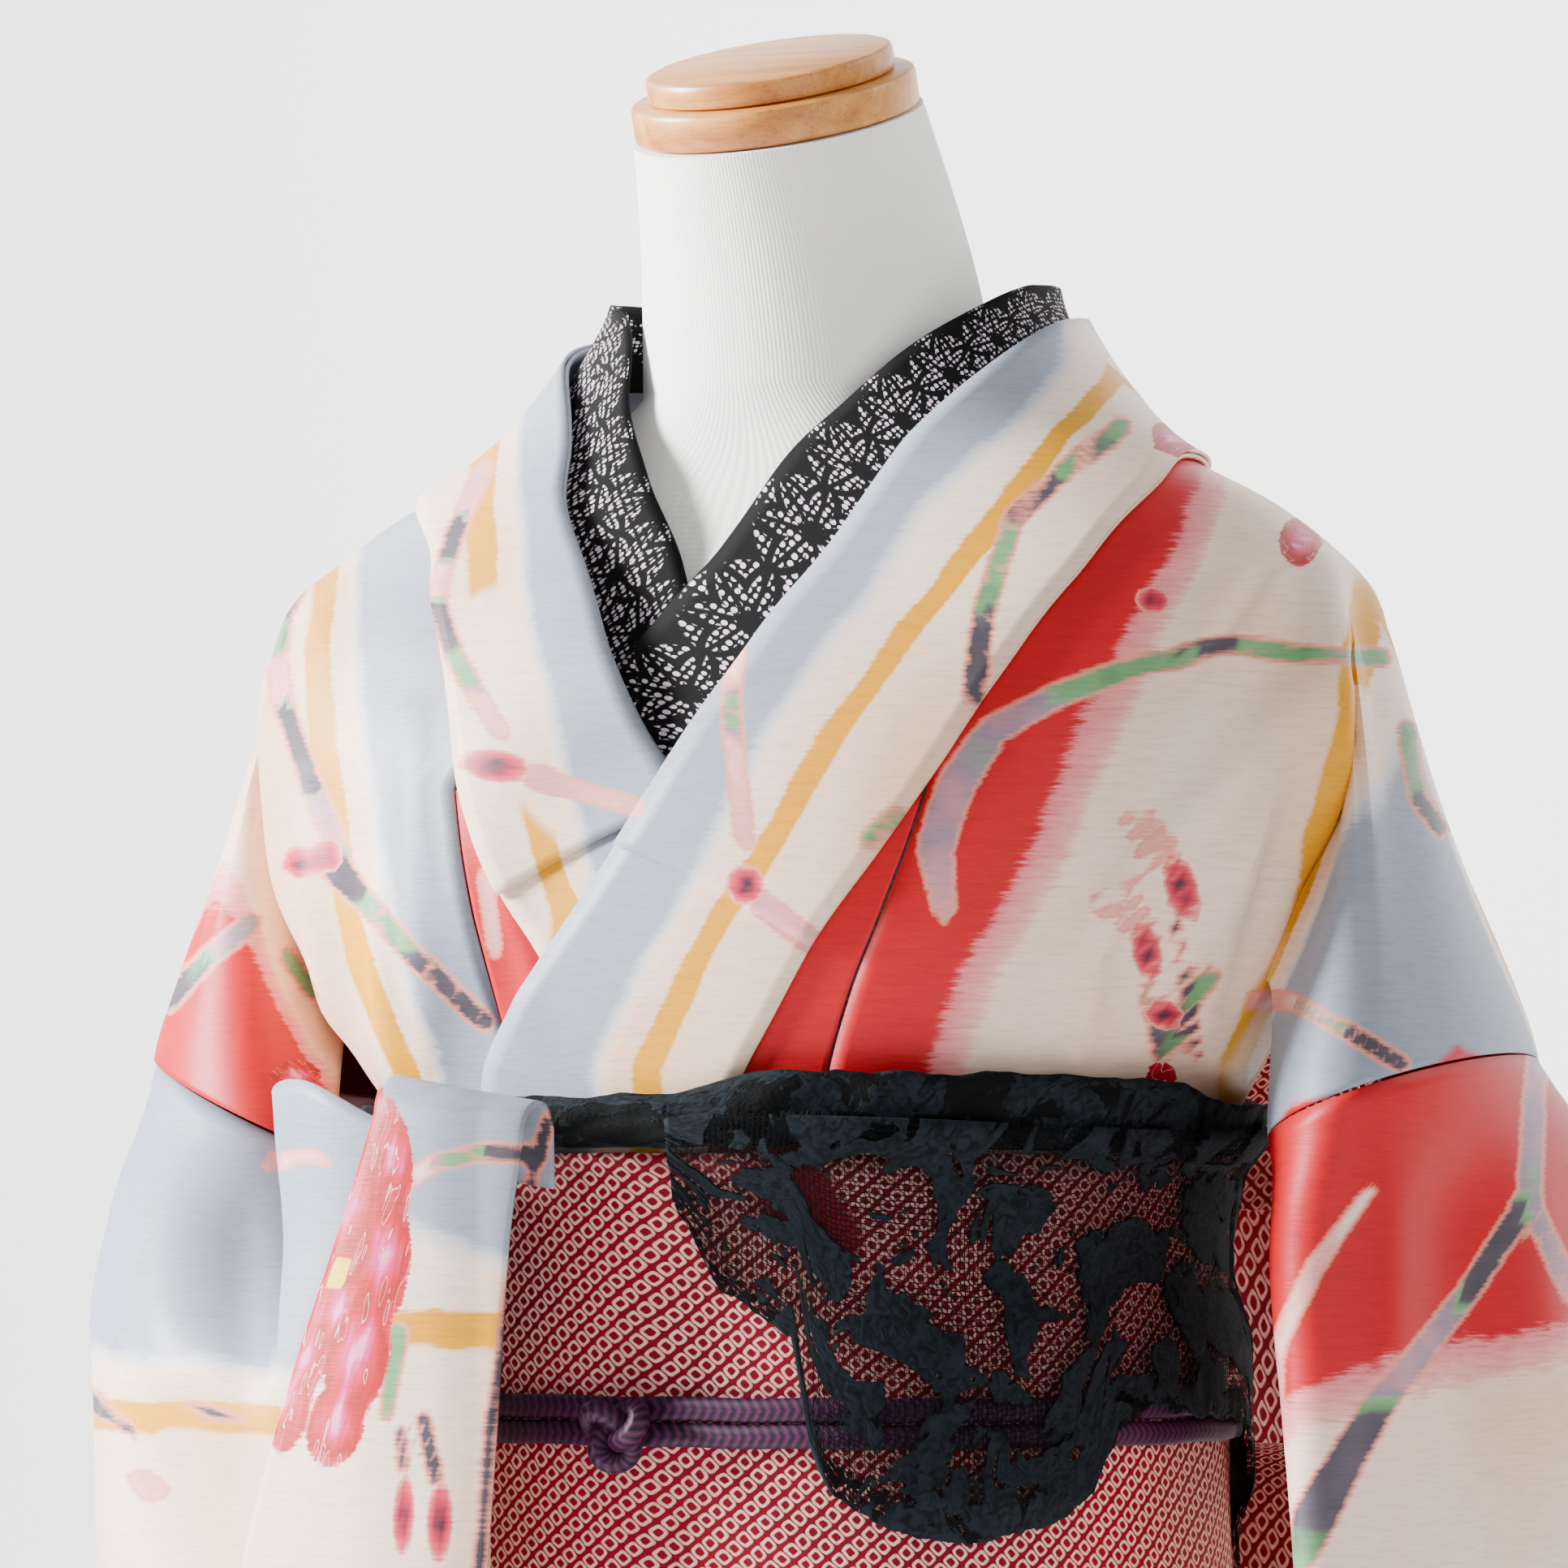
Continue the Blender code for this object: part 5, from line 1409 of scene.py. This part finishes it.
SASH_OFFSET, SASH_THICKNESS = 4.7, 3.3
SASH_FACE = SASH_OFFSET + SASH_THICKNESS
DRUM = table("step y z", (0, 111.3, 1058), (1, 118, 1100), (2, 132, 1124), (3, 162, 1133),
             (4, 196, 1118), (5, 216, 1074), (6, 222, 1000), (7, 220, 925), (8, 211, 876),
             (9, 196, 862), (10, 181, 872), (11, 175, 915), (12, 170, 958), (13, 159, 972),
             (14, 149, 955), (15, 145, 890), (16, 144, 830), (17, 147, 778))

# Silk crepe, tie-dyed: a dull, slightly pebbled crimson with raised pale rings, each with a
# dark red middle, in slanting rows.
tie_dyed, tree, shader = new_finish("tie_dyed_crepe", 0.75, Specular_IOR_Level=0.15)
uv = add(tree, "UVMap", uv_map="bolt").outputs[0]
place = add(tree, "TexCoord").outputs["Object"]
rows = add(tree, "Mapping", {"Vector": uv, "Rotation": (0, 0, math.radians(-43))})
jitter = add(tree, "TexNoise", {"Vector": uv, "Scale": 140.0, "Detail": 1.0})
rows = add(tree, "MixRGB", {0: 0.0012, 1: rows, 2: jitter.outputs["Color"]}, blend_type="ADD")
rows = add(tree, "SeparateXYZ", {0: rows})
# pitch and length of the rings along the rows, then across them, in metres
offsets = []
for socket, pitch, length in ((0, 0.0043, 0.0043), (1, 0.0062, 0.0052)):
    step = add(tree, "Math", {0: rows.outputs[socket], 1: pitch}, operation="DIVIDE")
    step = add(tree, "Math", {0: step}, operation="FRACT")
    step = add(tree, "Math", {0: step, 1: 0.5}, operation="SUBTRACT")
    step = add(tree, "Math", {0: step, 1: length * 1000}, operation="MULTIPLY")
    offsets.append(add(tree, "Math", {0: step, 1: 4.0}, operation="POWER"))
away = add(tree, "Math", {0: add(tree, "Math", {0: offsets[0], 1: offsets[1]}), 1: 0.25},
           operation="POWER")
wobble = add(tree, "TexNoise", {"Vector": place, "Scale": 420.0, "Detail": 2.0})
away = add(tree, "Math", {0: wobble, 1: 0.5, 2: away}, operation="MULTIPLY_ADD")
ring = add(tree, "ValToRGB", {0: add(tree, "Math", {0: away, 1: 0.25}, operation="MULTIPLY")},
           stops=((0.32, "#000000"), (0.37, "#FFFFFF"), (0.52, "#FFFFFF"), (0.58, "#000000")))
patchy = add(tree, "TexNoise", {"Vector": uv, "Scale": 9.0, "Detail": 2.0})
patchy = add(tree, "ValToRGB", {0: patchy}, stops=((0.64, "#FFFFFF"), (0.67, "#303030")))
ring = add(tree, "MixRGB", {0: 1.0, 1: ring, 2: patchy}, blend_type="MULTIPLY")
cloudy = add(tree, "TexNoise", {"Vector": place, "Scale": 16.0, "Detail": 4.0})
ground = add(tree, "ValToRGB", {0: cloudy}, stops=((0.3, "#6E0018"), (0.7, "#8E0220")))
pale = add(tree, "ValToRGB", {0: wobble}, stops=((0.3, "#DC9A92"), (0.7, "#EEC0B6")))
shade = add(tree, "MixRGB", {0: ring, 1: ground, 2: pale})
pebble = add(tree, "TexNoise", {"Vector": place, "Scale": 1100.0, "Detail": 2.0})
height = add(tree, "Math", {0: ring, 1: 1.4, 2: pebble}, operation="MULTIPLY_ADD")
wire(tree, shader, shade, height, 0.3, 0.0008)


BAND_COLUMNS, BAND_ROWS, DRUM_COLUMNS, DRUM_ROWS, HAND_ROWS = 240, 16, 40, 112, 10


def band_place(i, j):
    angle = mix(-180, 180, i / BAND_COLUMNS)
    return off_surface(body_surface, angle, mix(902, 1078.7, j / BAND_ROWS), SASH_OFFSET)


sash_band = cloth("sash_band", ((BAND_COLUMNS, BAND_ROWS, band_place, None, None),), [tie_dyed],
                  thickness=SASH_THICKNESS, size=(0.82, 0.177), closed=True)
in_slot(sash_band, "sash_band")


def drum_place(i, j):
    step = j * DRUM["step"][-1] / DRUM_ROWS
    return Vector((mix(150, -150, i / DRUM_COLUMNS), at(DRUM, "y", step), at(DRUM, "z", step)))


sash_drum = cloth("sash_drum", ((DRUM_COLUMNS, DRUM_ROWS, drum_place, None, None),), [tie_dyed],
                  thickness=2.4, size=(0.3, 0.72))
in_slot(sash_drum, "sash_drum")


def hand_place(i, j):
    x = mix(175, -175, i / DRUM_COLUMNS)
    return Vector((x, 197 - 0.0002 * x * x, mix(866.7, 945, j / HAND_ROWS)))


sash_hand = cloth("sash_hand", ((DRUM_COLUMNS, HAND_ROWS, hand_place, None, None),), [tie_dyed],
                  thickness=2.4, size=(0.35, 0.078))
in_slot(sash_hand, "sash_hand")


# Sash scarf.  A soft wide strip of black lace over a fine net, rolled along the top of the sash,
# with one loose ruffled fall of it in front and round the wearer's left side.  There the fall
# hangs down to the sash's lower edge, a dark sheet standing in for the deep shade between the
# sash and the sleeve: painted shade.

# from angle 16 on, the lower edge drops to about 900: this low part of the fall is painted shade, a
# dark sheet in the gap between the sash and the sleeve
FALL_EDGE = table("angle low", (-87, 1064), (-84.5, 1047), (-81, 1033), (-76, 1026),
                  (-71, 1017), (-69, 984), (-66, 967), (-60, 958), (-54, 953), (-47, 951),
                  (-41, 954), (-35, 957), (-29, 967), (-24, 988), (-18, 995), (-11, 992),
                  (-4, 990), (3, 989), (10, 986), (16, 960), (20, 905), (26, 899), (32, 897),
                  (38, 896))
FALL_OFFSET = table("height offset", (930, 8.8), (950, 8.8), (966, 15.4), (1016, 15.4), (1036, 8.8),
                    (1050, 8.8), (1072, 13.0), (1079, 15.4), (1094, 15.4))


def scarf_lace(name, net_cover, trim):
    """Soft nylon lace: matt slate-black flower patches on a fine see-through net."""
    finish, tree, shader = new_finish(name, 0.85, Specular_IOR_Level=0.1)
    uv = add(tree, "UVMap", uv_map="bolt").outputs[0]
    patches = add(tree, "TexNoise", {"Vector": uv, "Scale": 42.0, "Detail": 3.0, "Roughness": 0.62,
                                     "Distortion": 0.9})
    patch = add(tree, "MapRange", {0: patches, 1: 0.49, 2: 0.51, 3: 0.0, 4: 1.0})
    veins = add(tree, "TexNoise", {"Vector": uv, "Scale": 260.0, "Detail": 3.0, "Distortion": 1.5})
    holes = add(tree, "TexVoronoi", {"Vector": uv, "Scale": 620.0, "Randomness": 0.3},
                feature="DISTANCE_TO_EDGE")
    net = add(tree, "MapRange", {0: holes, 1: 0.05, 2: 0.09, 3: 1.0, 4: net_cover})
    border = add(tree, "SeparateXYZ", {0: uv})
    border = add(tree, "Math", {0: veins, 1: 0.016, 2: border.outputs[1]}, operation="MULTIPLY_ADD")
    border = add(tree, "MapRange", {0: border, 1: trim, 2: trim + 0.002, 3: 1.0, 4: 0.0})
    holes_of_border = add(tree, "MapRange", {0: veins, 1: 0.45, 2: 0.5, 3: 0.2, 4: 1.0})
    border = add(tree, "MixRGB", {0: 1.0, 1: border, 2: holes_of_border}, blend_type="MULTIPLY")
    cover = add(tree, "Math", {0: patch, 1: net}, operation="MAXIMUM")
    cover = add(tree, "Math", {0: cover, 1: border}, operation="MAXIMUM")
    tint = add(tree, "ValToRGB", {0: veins}, stops=((0.35, "#0B0E11"), (0.6, "#181F25")))
    shade = add(tree, "MixRGB", {0: patch, 1: colour("#050607"), 2: tint})
    height = add(tree, "Math", {0: patch, 1: 1.5, 2: veins}, operation="MULTIPLY_ADD")
    tree.links.new(cover.outputs[0], shader.inputs["Alpha"])
    wire(tree, shader, shade, height, 0.55, 0.0009)
    return finish


roll_lace = scarf_lace("black_scarf_lace", 1.0, -1.0)
fall_lace = scarf_lace("black_scarf_net", 0.1, 0.018)


def roll_place(c, r):
    """Round the roll and along it; small crumples run along the cloth and across it."""
    angle, t = mix(-222, 42, r), 2 * math.pi * c
    k = r * 32
    swell = 1 + 0.1 * math.sin(k * 1.9) + 0.08 * math.sin(k * 0.8 + 1)
    full = ease((angle + 88) / 12) * ease(-angle / 25)
    here = Vector((math.cos(t) * 1.1, math.sin(t) * 1.1, angle * 0.16))
    crumple = 1.5 * noise.noise(here) + 0.9 * noise.noise(here * 2.3 + Vector((5, 1, 0)))
    crumple = (crumple - 0.9) * min(r, 1 - r, 0.04) / 0.04 * ease(math.cos(t) + 0.9)
    out = (3.9 * swell + crumple) * math.cos(t)
    up = (mix(9.5, 13, full) + crumple) * math.sin(t)
    return off_surface(body_surface, angle, mix(1090, 1094.5, full) + up, 9.6 + out)


scarf_roll = rolled_solid("scarf_roll", 40, 320, roll_place, [roll_lace], 80, (0.08, 0.7))
in_slot(scarf_roll, "scarf_roll")


FALL_COLUMNS, FALL_ROWS = 200, 40


def fall_place(i, j):
    angle = mix(FALL_EDGE["angle"][0], FALL_EDGE["angle"][-1], i / FALL_COLUMNS)
    ruffle = 2.2 * noise.noise(Vector((angle * 0.35, 3, 0)))
    ruffle += 1.2 * noise.noise(Vector((angle, 9, 0)))
    z = mix(level(FALL_EDGE, "low", angle) + ruffle, 1094, j / FALL_ROWS)
    rise = ease(1 - j / 14) * (0.8 + noise.noise(Vector((angle * 0.5, j * 0.1, 7))))
    return off_surface(body_surface, angle, z, level(FALL_OFFSET, "offset", z) + max(rise, 0))


scarf_fall = cloth("scarf_fall", ((FALL_COLUMNS, FALL_ROWS, fall_place, None, None),),
                   [fall_lace], thickness=1.0, size=(0.3, 0.12))
in_slot(scarf_fall, "scarf_fall")


# Sash cord.  A flat purple silk braid in two runs side by side over the sash, tied once in
# front; it holds the sash and is held by it.

CORD_HEIGHT = 990
braid, tree, shader = new_finish("purple_silk_braid", 0.5, Specular_IOR_Level=0.25)
uv = add(tree, "UVMap", uv_map="bolt").outputs[0]
parts = add(tree, "SeparateXYZ", {0: uv})
fold_over = add(tree, "Math", {0: parts.outputs[0], 1: 4.0}, operation="MULTIPLY")
fold_over = add(tree, "Math", {0: fold_over, 1: 1.0}, operation="PINGPONG")
slant = add(tree, "Math", {0: parts.outputs[1], 1: 330.0, 2: fold_over}, operation="MULTIPLY_ADD")
slant = add(tree, "Math", {0: slant}, operation="FRACT")
# each slanting rib is painted lightest along its middle and near black at both edges: painted shade
# in the grooves between the braid's strands, over its dark purple
shade = add(tree, "ValToRGB", {0: slant}, stops=(
    (0.0, "#0E0210"), (0.25, "#34082E"), (0.5, "#4C1648"), (0.75, "#2A0628"), (0.95, "#0A010B")))
wire(tree, shader, shade, slant, 0.6, 0.001)


def cord_run(name, shift):
    def place(c, r):
        angle, t = 360 * r, 2 * math.pi * c
        out, up = 2.6 * math.cos(t), 4.1 * math.sin(t)
        wave = 0.5 * math.sin(math.radians(angle * 22 + shift * 40))
        return off_surface(body_surface, angle, CORD_HEIGHT + shift + up + wave * 0.4,
                           SASH_FACE + 3.1 + out)

    return rolled_solid(name, 14, 360, place, [braid], 80, (1.0, 0.85))


for name, shift in (("sash_cord_upper_run", 4.3), ("sash_cord_lower_run", -4.3)):
    in_slot(cord_run(name, shift), "sash_cord")


def knot_path(turn):
    """The knot's own path: a small three-lobed knot, flattened against the sash."""
    return Vector((-8 + 3.6 * (math.sin(turn) + 1.9 * math.sin(2 * turn)),
                   -134.8 - 3.0 * math.sin(3 * turn),
                   987 + 3.4 * (math.cos(turn) - 1.9 * math.cos(2 * turn))))


def knot_place(c, r):
    turn, t = 2 * math.pi * r, 2 * math.pi * c
    along = (knot_path(turn + 0.01) - knot_path(turn - 0.01)).normalized()
    side = along.cross(Vector((0, 1, 0))).normalized()
    return knot_path(turn) + 3.9 * (side * math.cos(t) + side.cross(along) * math.sin(t))


knot = rolled_solid("sash_cord_knot", 16, 160, knot_place, [braid], 80, (1.0, 0.12))
in_slot(knot, "sash_cord_knot")
